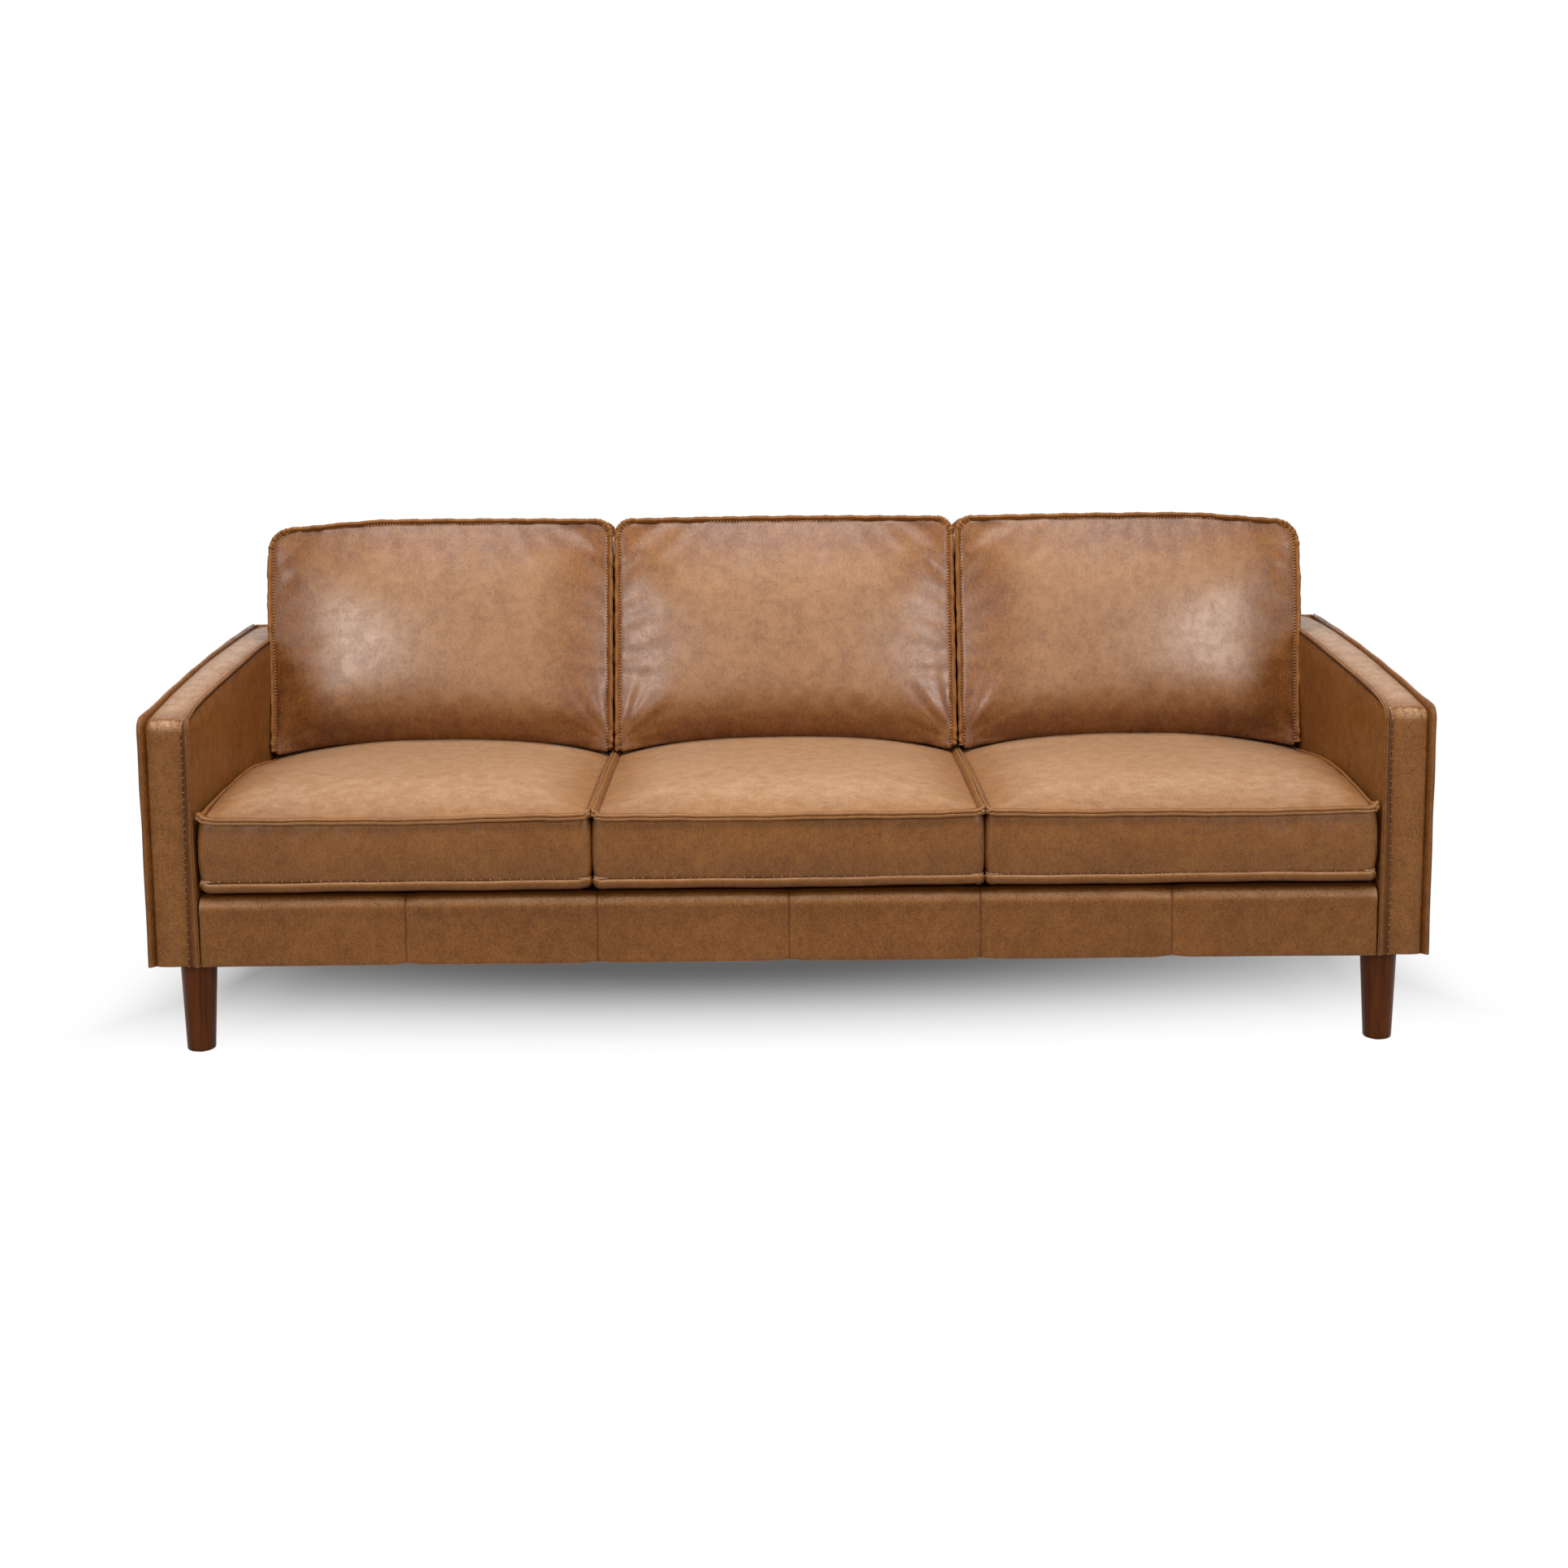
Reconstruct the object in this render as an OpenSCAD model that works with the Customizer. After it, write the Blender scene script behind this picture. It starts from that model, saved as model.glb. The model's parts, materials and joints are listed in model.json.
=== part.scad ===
// Three-seat leather sofa with loose cushions and four round wooden legs.
// Millimetres. X runs across the sofa, Y from front to back, Z up from the floor.
// The origin is on the floor, midway across and midway between front and back.
// Left and right are as seen from the front.

/* [Overall] */
// Width over the outsides of both arms
sofa_w = 2150; // [1900:5:2400]
// Depth from the front of the arms to the back's top edge
body_d = 830; // [780:5:900]
// Height of the upholstered back, without its cushions
back_h = 770; // [720:5:800]
// Lean of the outside of the back, in degrees
back_rake = 4; // [2:0.5:6]
// Lean of the inside of the back, in degrees
rest_rake = 10; // [8:0.5:12]
// Thickness of the upholstered back at its top edge
back_t = 62; // [56:1:80]
// Height of the seat deck's cloth
deck_z = 285; // [275:1:300]

/* [Arms] */
// Thickness of an arm
arm_t = 84; // [80:1:110]
// Height of an arm at its front
arm_front_h = 586; // [560:2:610]
// Height of an arm at the back
arm_back_h = 640; // [620:2:660]
// Radius of the arm's front top corner
arm_corner_r = 34; // [30:1:50]
// Height that the sewn flanges stand above the leather
seam_h = 7; // [4:1:8]

/* [Legs] */
// Height of the sofa's underside above the floor
leg_h = 162; // [120:2:200]
// Diameter of a leg at its top
leg_top_d = 62; // [54:1:70]
// Diameter of a leg at its foot
leg_foot_d = 48; // [36:1:54]
// Rounding of the foot's edge
foot_round = 4; // [2:1:6]
// Distance from the arm's outside to a leg's axis
leg_inset_x = 65; // [56:1:75]
// Distance from the front, and from the back of the frame, to a leg's axis
leg_inset_y = 60; // [52:1:75]
// Diameter of the glide under a leg
glide_d = 24; // [18:1:30]
// Thickness of the glide
glide_t = 3; // [2:0.5:5]
// Diameter of the glide's nail
nail_d = 3; // [2:0.5:4]
// Length of the glide's nail
nail_l = 18; // [12:1:24]
// Diameter of the hanger bolt in each leg
leg_bolt_d = 8; // [6:1:10]
// Length of the hanger bolt inside the leg
leg_bolt_l = 42; // [30:1:50]

/* [Frame] */
// Thickness of the front rail
front_rail_t = 25; // [20:1:30]
// Thickness of the back rail and of the side rails
rail_t = 28; // [22:1:32]
// Height of the seat rails' top edges
rail_top_z = 250; // [240:1:256]
// Width of a crossbar under the seat
crossbar_w = 30; // [24:1:45]
// Height of a crossbar
crossbar_h = 70; // [50:1:80]
// Length of the glue blocks' sides
corner_block_l = 75; // [60:1:90]
// Height of the glue blocks
corner_block_h = 52; // [40:1:56]
// Length of a leg block along the sofa's depth
leg_block_l = 120; // [100:1:140]
// Thickness of a leg block
leg_block_t = 26; // [22:1:30]
// Reach of a leg block past the seat box, towards the middle
leg_block_reach = 40; // [32:1:60]
// Height of an arm's base rail
arm_base_h = 68; // [60:1:72]
// Width of an arm's posts, seen from the side
arm_post_w = 45; // [35:1:60]
// Depth of an arm's top rail
arm_rail_h = 30; // [24:1:40]
// Width of a back post
back_post_w = 40; // [30:1:50]
// Depth of the back's top rail
back_rail_h = 28; // [24:1:36]
// Height of the lower rails of the back
lower_rail_h = 40; // [30:1:60]
// Thickness of the lower rails of the back
lower_rail_t = 20; // [16:1:28]
// Gap between the seat rails and the lower rails of the back
lower_rail_lift = 42; // [38:1:60]
// Diameter of the bolts that hold the arms on
arm_bolt_d = 8; // [6:1:10]
// Length of those bolts under the head
arm_bolt_l = 82; // [70:1:90]
// Diameter of the bolts' heads
arm_bolt_head_d = 18; // [16:1:22]
// Height of those heads
arm_bolt_head_h = 4; // [3:0.5:6]

/* [Upholstery] */
// Thickness of the leather and of the cloths
cover_t = 2; // [1.5:0.5:2.5]
// Thickness of the fibreboard on the frame
board_t = 3; // [2:0.5:4]
// Everything between the arm's front face and its frame
front_build = 20; // [18:1:24]
// Everything between the arm's top and its frame
top_build = 21; // [18:1:25]
// Wadding on an arm's outside
outer_pad = 9; // [5:1:12]
// Wadding on an arm's inside
inner_pad = 13; // [8:1:16]
// Distance of the front rail's leather behind the arms' fronts
rail_setback = 6; // [4:1:8]
// Radius of the padded edge over the front rail
rail_edge_r = 24; // [14:1:26]
// Depth of that padded edge
rail_edge_d = 64; // [50:1:90]
// Width of one leather panel on the front rail
rail_panel_w = 323; // [300:1:340]
// Depth of the leather turned in under the front rail
turn_under = 18; // [14:1:19]
// Wadding on the inside of the back
rest_pad = 14; // [10:1:18]
// Wadding over the back's top edge
rest_top_pad = 12; // [8:1:16]
// Radius of the back's front top edge
rest_edge_r = 22; // [18:1:28]
// Thickness of the black cloth underneath
dust_t = 1; // [0.5:0.5:1.5]

/* [Webbing] */
// Width of an elastic strap
strap_w = 60; // [50:1:70]
// Thickness of an elastic strap
strap_t = 2.4; // [1.5:0.1:3]
// Distance between straps that run front to back
strap_step = 120; // [110:1:128]
// Straps front to back under each seat
straps_per_seat = 5; // [3:1:5]
// Straps from side to side
cross_straps = 4; // [3:1:5]
// Straps up the back behind each seat
back_straps_per_seat = 3; // [2:1:4]

/* [Cushions] */
// Height of a seat cushion's top seam at its front
seat_edge_z = 412; // [400:2:430]
// Height of a seat cushion's top along its sides
seat_side_z = 421; // [412:1:436]
// Height of a seat cushion's crown
seat_crown_z = 452; // [440:2:470]
// Distance of a seat cushion's crown in front of the back cushion's foot
seat_crest_gap = 46; // [20:2:120]
// Bulge of a seat cushion's front
seat_bulge = 10; // [0:1:16]
// Height of the back cushions' tops
back_cushion_h = 864; // [840:2:900]
// Height at which a back cushion's top starts to round over
back_shoulder_z = 822; // [800:2:830]
// Thickness of a back cushion at its foot
back_foot_t = 160; // [140:2:180]
// Thickness of a back cushion at its shoulder
back_shoulder_t = 141; // [120:1:160]
// Bulge of a back cushion's face
back_bulge = 16; // [0:1:24]
// Corner radius of the back cushions at the sofa's ends
back_end_r = 74; // [40:2:90]
// Corner radius of the back cushions where they meet
back_meet_r = 34; // [20:2:50]
// Fibre-filled chambers side by side in a back cushion
back_chambers = 6; // [4:1:8]

/* [Clearances] */
// Gap round every loose cushion
cushion_gap = 0.6; // [0.3:0.1:1.5]
// Gap between crossing straps
strap_gap = 0.3; // [0.2:0.1:0.6]
// Gap between the sewn panels of the front rail
panel_gap = 0.4; // [0.2:0.1:0.8]
// Gap between the chambers of a back cushion
chamber_gap = 0.4; // [0.2:0.1:1]
// Gap between the leaning layers of the back, laid face to face
layer_gap = 0.05; // [0.02:0.01:0.2]
// Radial gap round bolts, nails and nuts
bolt_gap = 0.1; // [0.05:0.05:0.3]

/* [Hidden] */
$fn = 48;
EPS = 1;
seats = 3;
half_w = sofa_w / 2;
inside = half_w - arm_t;
seat_w = 2 * inside / seats;
y_front = -body_d / 2;
y_back = body_d / 2;
frame_z = leg_h + cover_t;
frame_front = y_front + front_build;
board_face = cover_t + layer_gap;
rear_build = board_face + board_t + layer_gap;
rail_back = rear_y(frame_z) - rear_build;
rail_inner_front = frame_front + front_rail_t;
rail_inner_back = rail_back - rail_t;
frame_out = half_w - cover_t - outer_pad - board_t;
frame_in = half_w - arm_t + cover_t + inner_pad + board_t;
arm_base_z = frame_z + arm_base_h;
arm_corner_y = y_front + arm_corner_r;
arm_end_y = rear_y(arm_back_h);
arm_crown_r = pow(arm_end_y - y_front, 2) / (2 * (arm_back_h - arm_front_h));
block_top_z = frame_z + leg_block_t;
leg_x = half_w - leg_inset_x;
leg_front_y = y_front + leg_inset_y;
leg_back_y = rail_back - leg_inset_y + front_build;
leg_top_z = frame_z - dust_t;
nut_d = leg_bolt_d + 2;
nut_flange_d = leg_bolt_d + 11;
nut_flange_t = 1.5;
nut_l = 14;
bolt_end_gap = 2;
arm_bolt_z = (block_top_z + arm_base_z) / 2;
arm_bolts_y = [for (t = [0.25, 0.5, 0.75]) mix(rail_inner_front, rail_inner_back, t)];
deck_pad_z = rail_top_z + 2 * (strap_t + strap_gap);
deck_back = rest_y(deck_pad_z);
rest_front_in = cover_t + rest_pad;
rest_top_in = cover_t + rest_top_pad;
back_frame_in = rest_front_in + layer_gap + strap_t;
back_frame_top = back_h - rest_top_in;
lower_rail_z = rail_top_z + lower_rail_lift;
strap_end = 5;
back_strap_top = back_frame_top - 12;
seat_front = y_front + cover_t;
seat_base = deck_z + cushion_gap;
seat_back = rest_y(deck_z) - cushion_gap;
back_foot_y = rest_y(seat_side_z) - back_foot_t;
crest_y = back_foot_y - seat_crest_gap;
arc_steps = 8;
curve_steps = 14;
arm_step = (arm_end_y - arm_corner_y) / curve_steps;
weave_flat = strap_w / 2 + 4;
weave_slope = 22;
weave_step = 5.5;

// ---- planes and curves that several pieces share ----

// Outside face of the back at height z
function rear_y(z) = y_back - (back_h - z) * tan(back_rake);

// Inside face of the back at height z
function rest_y(z) = y_back - back_t - (back_h - z) * tan(rest_rake);

// Height of the arm's top at its i-th stop, on a flat arc that crests at the back
function arm_stop_z(i) = arm_back_h - pow(arm_end_y - arm_corner_y - i * arm_step, 2) / (2 * arm_crown_r);

// Height of the arm's top at depth y, straight between the stops
function arm_top(y, inset) =
    let (
        t = (y - arm_corner_y) / arm_step,
        i = min(max(floor(t), 0), curve_steps - 1)
    )
    mix(arm_stop_z(i), arm_stop_z(i + 1), t - i) - inset;

// Points on the arm's top between two depths, at every stop on the way
function arm_top_points(y0, y1, inset) = concat(
    [[y0, arm_top(y0, inset)]],
    [for (i = [0:curve_steps])
        let (y = arm_corner_y + i * arm_step)
        if (y > y0 && y < y1) [y, arm_top(y, inset)]],
    [[y1, arm_top(y1, inset)]]
);

function mix(a, b, t) = a + (b - a) * t;

// Side view of an arm, drawn inwards by an inset at its front, top and back
function arm_outline(front, top, rear, base) =
    let (corner_z = arm_top(arm_corner_y, 0) - arm_corner_r)
    concat(
        [[y_front + front, base]],
        [for (i = [0:arc_steps - 1])
            let (a = 90 * i / arc_steps)
            [arm_corner_y - (arm_corner_r - front) * cos(a), corner_z + (arm_corner_r - top) * sin(a)]],
        arm_top_points(arm_corner_y, rear_y(arm_back_h - top) - rear, top),
        [[rear_y(base) - rear, base]]
    );

// Area under the arm's top curve between two depths, down to a floor
function under_arm_top(y0, y1, floor_z, inset) =
    concat([[y0, floor_z]], arm_top_points(y0, y1, inset), [[y1, floor_z]]);

// Side view of the upholstered back, drawn inwards in the same way
function back_outline(front, top, rear, base) =
    let (
        corner_z = back_h - rest_edge_r,
        corner_y = rest_y(corner_z) + rest_edge_r
    )
    concat(
        [[rest_y(base) + front, base]],
        [for (i = [0:arc_steps])
            let (a = 90 * i / arc_steps)
            [corner_y - (rest_edge_r - front) * cos(a), corner_z + (rest_edge_r - top) * sin(a)]],
        [[rear_y(back_h - top) - rear, back_h - top], [rear_y(base) - rear, base]]
    );

// Slice of the outside of the back between two heights and two depths
function rear_band(z0, z1, d0, d1) = [
    [rear_y(z0) - d1, z0], [rear_y(z0) - d0, z0], [rear_y(z1) - d0, z1], [rear_y(z1) - d1, z1]
];

// Slice of the inside of the back between two heights and two depths
function rest_band(z0, z1, d0, d1) = [
    [rest_y(z0) + d0, z0], [rest_y(z0) + d1, z0], [rest_y(z1) + d1, z1], [rest_y(z1) + d0, z1]
];

function seat_x(i) = (i - (seats - 1) / 2) * seat_w;

// ---- ways of extruding and placing ----

// Extrudes a side view (depth, height) from x0 to x1
module across(x0, x1) {
    translate([x0, 0, 0]) rotate([90, 0, 90]) linear_extrude(x1 - x0) children();
}

// Extrudes a front view (width, height) from y0 to y1
module along(y0, y1) {
    translate([0, y1, 0]) rotate([90, 0, 0]) linear_extrude(y1 - y0) children();
}

module box(x0, x1, y0, y1, z0, z1) {
    translate([x0, y0, z0]) cube([x1 - x0, y1 - y0, z1 - z0]);
}

module left() {
    mirror([1, 0, 0]) children();
}

module each_side() {
    children();
    left() children();
}

// Puts its children at each of the four legs, drawn for the front right one
module each_leg() {
    for (side = [-1, 1], y = [leg_front_y, leg_back_y]) translate([side * leg_x, y, 0]) children();
}

// ---- seat frame ----

module leg_block_shapes(gap) {
    for (y = [frame_front, rail_back - leg_block_l])
        each_side()
            box(inside - leg_block_reach - gap, frame_out + gap, y - gap, y + leg_block_l + gap,
                frame_z - gap, block_top_z);
}

module leg_blocks() {
    color("burlywood") difference() {
        leg_block_shapes(0);
        each_leg() translate([0, 0, frame_z - EPS])
            cylinder(d = nut_d + 2 * bolt_gap, h = leg_block_t + 2 * EPS);
        each_leg() translate([0, 0, block_top_z - nut_flange_t])
            cylinder(d = nut_flange_d + 2 * bolt_gap, h = nut_flange_t + EPS);
    }
}

module front_rail() {
    color("burlywood") difference() {
        box(-inside, inside, frame_front, rail_inner_front, frame_z, rail_top_z);
        leg_block_shapes(0);
    }
}

module back_rail() {
    color("burlywood") difference() {
        box(-inside, inside, rail_inner_back, rail_back, frame_z, rail_top_z);
        leg_block_shapes(0);
    }
}

module side_rail() {
    color("burlywood") difference() {
        box(inside - rail_t, inside, rail_inner_front, rail_inner_back, frame_z, rail_top_z);
        leg_block_shapes(0);
        arm_bolt_holes();
    }
}

module seat_crossbars() {
    color("burlywood") for (i = [1:seats - 1])
        translate([-inside + i * seat_w, 0, 0])
            box(-crossbar_w / 2, crossbar_w / 2, rail_inner_front, rail_inner_back,
                rail_top_z - crossbar_h, rail_top_z);
}

module corner_blocks() {
    x = inside - rail_t;
    l = corner_block_l;
    color("tan") each_side() translate([0, 0, block_top_z]) linear_extrude(corner_block_h) {
        polygon([[x, rail_inner_front], [x, rail_inner_front + l], [x - l, rail_inner_front]]);
        polygon([[x, rail_inner_back], [x - l, rail_inner_back], [x, rail_inner_back - l]]);
    }
}

// ---- arms, drawn on the right and mirrored for the left ----

// Extrudes a side view between two distances in from the arm's outside
module arm_slice(d0, d1) {
    across(half_w - d1, half_w - d0) children();
}

module arm_base_rail() {
    color("burlywood") difference() {
        across(inside, frame_out) polygon([
            [frame_front, frame_z], [frame_front, arm_base_z],
            [rear_y(arm_base_z) - rear_build, arm_base_z], [rear_y(frame_z) - rear_build, frame_z]
        ]);
        leg_block_shapes(0);
        arm_bolt_holes();
    }
}

module arm_posts() {
    color("burlywood") across(frame_in, frame_out) intersection() {
        polygon(under_arm_top(y_front, y_back, arm_base_z, top_build + arm_rail_h));
        union() {
            translate([frame_front, arm_base_z]) square([arm_post_w, arm_back_h]);
            polygon(rear_band(arm_base_z, arm_back_h, rear_build, rear_build + arm_post_w));
        }
    }
}

module arm_top_rail() {
    color("burlywood") across(frame_in, frame_out) difference() {
        polygon(arm_outline(front_build, top_build, rear_build, frame_z));
        polygon(under_arm_top(y_front, y_back, frame_z - EPS, top_build + arm_rail_h));
    }
}

module arm_boards() {
    color("peru") {
        across(frame_out, frame_out + board_t)
            polygon(arm_outline(front_build, top_build, rear_build, frame_z));
        across(frame_in - board_t, frame_in)
            polygon(arm_outline(front_build, top_build, rear_build, arm_base_z));
    }
}

module arm_padding() {
    skin = seam_h + cover_t;
    color("ivory") difference() {
        arm_slice(cover_t, arm_t - cover_t) polygon(arm_outline(skin, skin, rear_build, frame_z));
        across(frame_in - board_t, frame_out + board_t)
            polygon(arm_outline(front_build, top_build, -EPS, frame_z - EPS));
        box(inside, frame_out, frame_front, y_back, frame_z - EPS, arm_base_z);
    }
}

module arm_outside_panel() {
    color("sienna") arm_slice(0, cover_t) polygon(arm_outline(0, 0, cover_t, leg_h));
}

module arm_inside_panel() {
    color("sienna") arm_slice(arm_t - cover_t, arm_t) difference() {
        polygon(arm_outline(0, 0, rear_build, leg_h));
        translate([frame_front, leg_h - EPS]) square([body_d, arm_base_z - leg_h + EPS]);
    }
}

// The strip over the arm's front and top, with both edges turned up into the flanges
module arm_boxing() {
    color("saddlebrown") {
        arm_slice(cover_t, arm_t - cover_t) arm_skin(seam_h);
        arm_slice(cover_t, 2 * cover_t) arm_skin(0);
        arm_slice(arm_t - 2 * cover_t, arm_t - cover_t) arm_skin(0);
    }
}

module arm_skin(outset) {
    skin = seam_h + cover_t;
    difference() {
        polygon(arm_outline(outset, outset, cover_t, leg_h));
        polygon(arm_outline(skin, skin, -EPS, leg_h - EPS));
    }
}

module arm_bolt_holes() {
    for (y = arm_bolts_y)
        translate([inside - rail_t - EPS, y, arm_bolt_z]) rotate([0, 90, 0])
            cylinder(d = arm_bolt_d + 2 * bolt_gap, h = arm_bolt_l + bolt_end_gap + EPS);
}

module arm_bolts() {
    color("silver") each_side() for (y = arm_bolts_y)
        translate([inside - rail_t, y, arm_bolt_z]) rotate([0, 90, 0]) {
            cylinder(d = arm_bolt_d, h = arm_bolt_l);
            translate([0, 0, -arm_bolt_head_h]) cylinder(d = arm_bolt_head_d, h = arm_bolt_head_h);
        }
}

// ---- back ----

module back_posts() {
    posts_x = [for (i = [0:seats])
        i == 0 ? -inside + back_post_w / 2 : i == seats ? inside - back_post_w / 2 : -inside + i * seat_w];
    top_z = back_frame_top - back_rail_h;
    color("burlywood") for (x = posts_x)
        across(x - back_post_w / 2, x + back_post_w / 2) polygon([
            [rest_y(rail_top_z) + back_frame_in, rail_top_z],
            [rest_y(top_z) + back_frame_in, top_z],
            [rear_y(top_z) - rear_build, top_z],
            [rear_y(rail_top_z) - rear_build, rail_top_z]
        ]);
}

module back_top_rail() {
    color("burlywood") across(-inside, inside)
        polygon(back_outline(back_frame_in, rest_top_in, rear_build, back_frame_top - back_rail_h));
}

module back_lower_rails() {
    color("burlywood") for (i = [0:seats - 1]) {
        x0 = -inside + i * seat_w + (i == 0 ? back_post_w : back_post_w / 2);
        x1 = -inside + (i + 1) * seat_w - (i == seats - 1 ? back_post_w : back_post_w / 2);
        across(x0, x1) polygon(rest_band(lower_rail_z, lower_rail_z + lower_rail_h,
            back_frame_in, back_frame_in + lower_rail_t));
    }
}

module back_board() {
    step_z = arm_back_h - seam_h - cover_t;
    far_face = board_face + board_t;
    color("peru") {
        across(-half_w + cover_t, half_w - cover_t) polygon(rear_band(frame_z, step_z, board_face, far_face));
        across(-inside, inside) polygon(rear_band(step_z, back_frame_top, board_face, far_face));
    }
}

module back_straps() {
    color("dimgray") for (i = [0:seats - 1], k = [0:back_straps_per_seat - 1]) {
        x = seat_x(i) + (k - (back_straps_per_seat - 1) / 2) * seat_w / (back_straps_per_seat + 1);
        across(x - strap_w / 2, x + strap_w / 2)
            polygon(rest_band(lower_rail_z, back_strap_top, rest_front_in + layer_gap, back_frame_in));
    }
}

module back_padding() {
    skin = cover_t + layer_gap;
    color("ivory") across(-inside, inside) difference() {
        polygon(back_outline(skin, skin, skin, deck_pad_z));
        polygon(back_outline(rest_front_in, rest_top_in, -EPS, deck_pad_z - EPS));
    }
}

module back_inside_cover() {
    color("sienna") across(-inside, inside) difference() {
        polygon(back_outline(0, 0, cover_t, deck_pad_z));
        polygon(back_outline(cover_t, cover_t, -EPS, deck_pad_z - EPS));
    }
}

module back_outside_cover() {
    color("sienna") {
        across(-half_w, half_w) polygon(rear_band(leg_h, arm_back_h, 0, cover_t));
        across(-inside, inside) polygon(rear_band(arm_back_h, back_h, 0, cover_t));
    }
}

// ---- seat deck ----

// A strap laid over and under the ones it crosses: flat above each crossing strap that it
// goes over, flat on the rails elsewhere, with smooth slopes between
function weave_height(t, crossings, parity) =
    let (
        lifts = [for (j = [0:len(crossings) - 1])
            (j + parity) % 2 == 0 ? weave_bump(abs(t - crossings[j])) : 0]
    )
    max(lifts) * (strap_t + strap_gap);

function weave_bump(d) =
    d <= weave_flat ? 1 :
    d >= weave_flat + weave_slope ? 0 :
    (1 + cos(180 * (d - weave_flat) / weave_slope)) / 2;

function weave_stops(t0, t1, crossings, parity) = concat(
    [t0],
    [for (j = [0:len(crossings) - 1])
        if ((j + parity) % 2 == 0)
            for (s = [-1, 1], d = [0:weave_step:weave_slope])
                crossings[j] + s * (weave_flat + (s < 0 ? weave_slope - d : d))],
    [t1]
);

function strap_outline(t0, t1, crossings, parity) =
    let (
        stops = weave_stops(t0, t1, crossings, parity),
        low = [for (t = stops) [t, rail_top_z + weave_height(t, crossings, parity)]]
    )
    concat(low, [for (i = [len(low) - 1:-1:0]) low[i] + [0, strap_t]]);

seat_straps_x = [for (i = [0:seats - 1], k = [0:straps_per_seat - 1])
    seat_x(i) + (k - (straps_per_seat - 1) / 2) * strap_step];
cross_straps_y = [for (k = [0:cross_straps - 1])
    mix(rail_inner_front, deck_back, (k + 1) / (cross_straps + 1))];

module seat_straps() {
    color("dimgray") for (i = [0:len(seat_straps_x) - 1])
        across(seat_straps_x[i] - strap_w / 2, seat_straps_x[i] + strap_w / 2)
            polygon(strap_outline(frame_front + strap_end, rail_back - strap_end, cross_straps_y, i % 2));
}

module seat_cross_straps() {
    color("gray") for (i = [0:len(cross_straps_y) - 1])
        along(cross_straps_y[i] - strap_w / 2, cross_straps_y[i] + strap_w / 2)
            polygon(strap_outline(-inside + strap_end, inside - strap_end, seat_straps_x, 1 - i % 2));
}

module deck_pad() {
    color("ivory") box(-inside, inside, y_front + rail_setback + rail_edge_d, deck_back,
        deck_pad_z, deck_z - cover_t);
}

module deck_cloth() {
    color("tan") box(-inside, inside, y_front + rail_setback + rail_edge_d, deck_back,
        deck_z - cover_t, deck_z);
}

// Side view of the padded front edge, drawn inwards by an inset
function edge_outline(inset, back_y, floor_z) =
    let (
        y = y_front + rail_setback,
        r = rail_edge_r - inset
    )
    concat(
        [[y + inset, floor_z]],
        [for (i = [0:arc_steps])
            let (a = 90 * i / arc_steps)
            [y + rail_edge_r - r * cos(a), deck_z - rail_edge_r + r * sin(a)]],
        [[back_y, deck_z - inset], [back_y, floor_z]]
    );

module front_edge_padding() {
    back_y = y_front + rail_setback + rail_edge_d;
    color("ivory") across(-inside, inside) difference() {
        polygon(edge_outline(cover_t, back_y, frame_z));
        translate([frame_front, frame_z - EPS]) square([body_d, deck_pad_z - frame_z + EPS]);
    }
}

module front_rail_cover() {
    back_y = y_front + rail_setback + rail_edge_d;
    half_panels = 2;
    edges = concat([-inside],
        [for (k = [-half_panels:half_panels]) k * rail_panel_w],
        [inside]);
    color("saddlebrown") for (i = [0:len(edges) - 2])
        across(edges[i] + (i > 0 ? panel_gap / 2 : 0),
               edges[i + 1] - (i < len(edges) - 2 ? panel_gap / 2 : 0)) {
            difference() {
                polygon(edge_outline(0, back_y, leg_h));
                polygon(edge_outline(cover_t, back_y + EPS, leg_h - EPS));
            }
            translate([y_front + rail_setback, leg_h]) square([turn_under, cover_t]);
        }
}

module dust_cover() {
    color("black") difference() {
        box(-half_w + cover_t, half_w - cover_t, y_front + rail_setback + turn_under, rail_back,
            leg_top_z, frame_z);
        each_leg() translate([0, 0, leg_top_z - EPS])
            cylinder(d = leg_bolt_d + 2 * bolt_gap, h = dust_t + 2 * EPS);
    }
}

// ---- legs ----

// Half section of a leg: a straight taper, a rounded foot and two bores on its axis
function leg_section() =
    let (
        bolt_r = leg_bolt_d / 2 + bolt_gap,
        nail_r = nail_d / 2 + bolt_gap,
        bolt_z = leg_top_z - leg_bolt_l - bolt_end_gap,
        nail_z = glide_t + nail_l + bolt_end_gap
    )
    concat(
        [[0, nail_z], [nail_r, nail_z], [nail_r, glide_t]],
        [for (i = [0:arc_steps])
            let (a = -90 + 90 * i / arc_steps)
            [leg_foot_d / 2 - foot_round * (1 - cos(a)), glide_t + foot_round * (1 + sin(a))]],
        [[leg_top_d / 2, leg_top_z], [bolt_r, leg_top_z], [bolt_r, bolt_z], [0, bolt_z]]
    );

module leg(side, y) {
    color("saddlebrown") translate([side * leg_x, y, 0]) rotate_extrude() polygon(leg_section());
}

module leg_glides() {
    color("dimgray") each_leg() {
        cylinder(d = glide_d, h = glide_t);
        cylinder(d = nail_d, h = glide_t + nail_l);
    }
}

module leg_nuts() {
    color("silver") each_leg() difference() {
        union() {
            translate([0, 0, block_top_z - nut_l]) cylinder(d = nut_d, h = nut_l);
            translate([0, 0, block_top_z - nut_flange_t]) cylinder(d = nut_flange_d, h = nut_flange_t);
        }
        translate([0, 0, block_top_z - nut_l - EPS])
            cylinder(d = leg_bolt_d + 2 * bolt_gap, h = nut_l + 2 * EPS);
    }
}

module leg_bolts() {
    color("silver") each_leg() translate([0, 0, leg_top_z - leg_bolt_l])
        cylinder(d = leg_bolt_d, h = leg_bolt_l + block_top_z - leg_top_z - bolt_end_gap);
}

// ---- cushions ----

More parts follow.
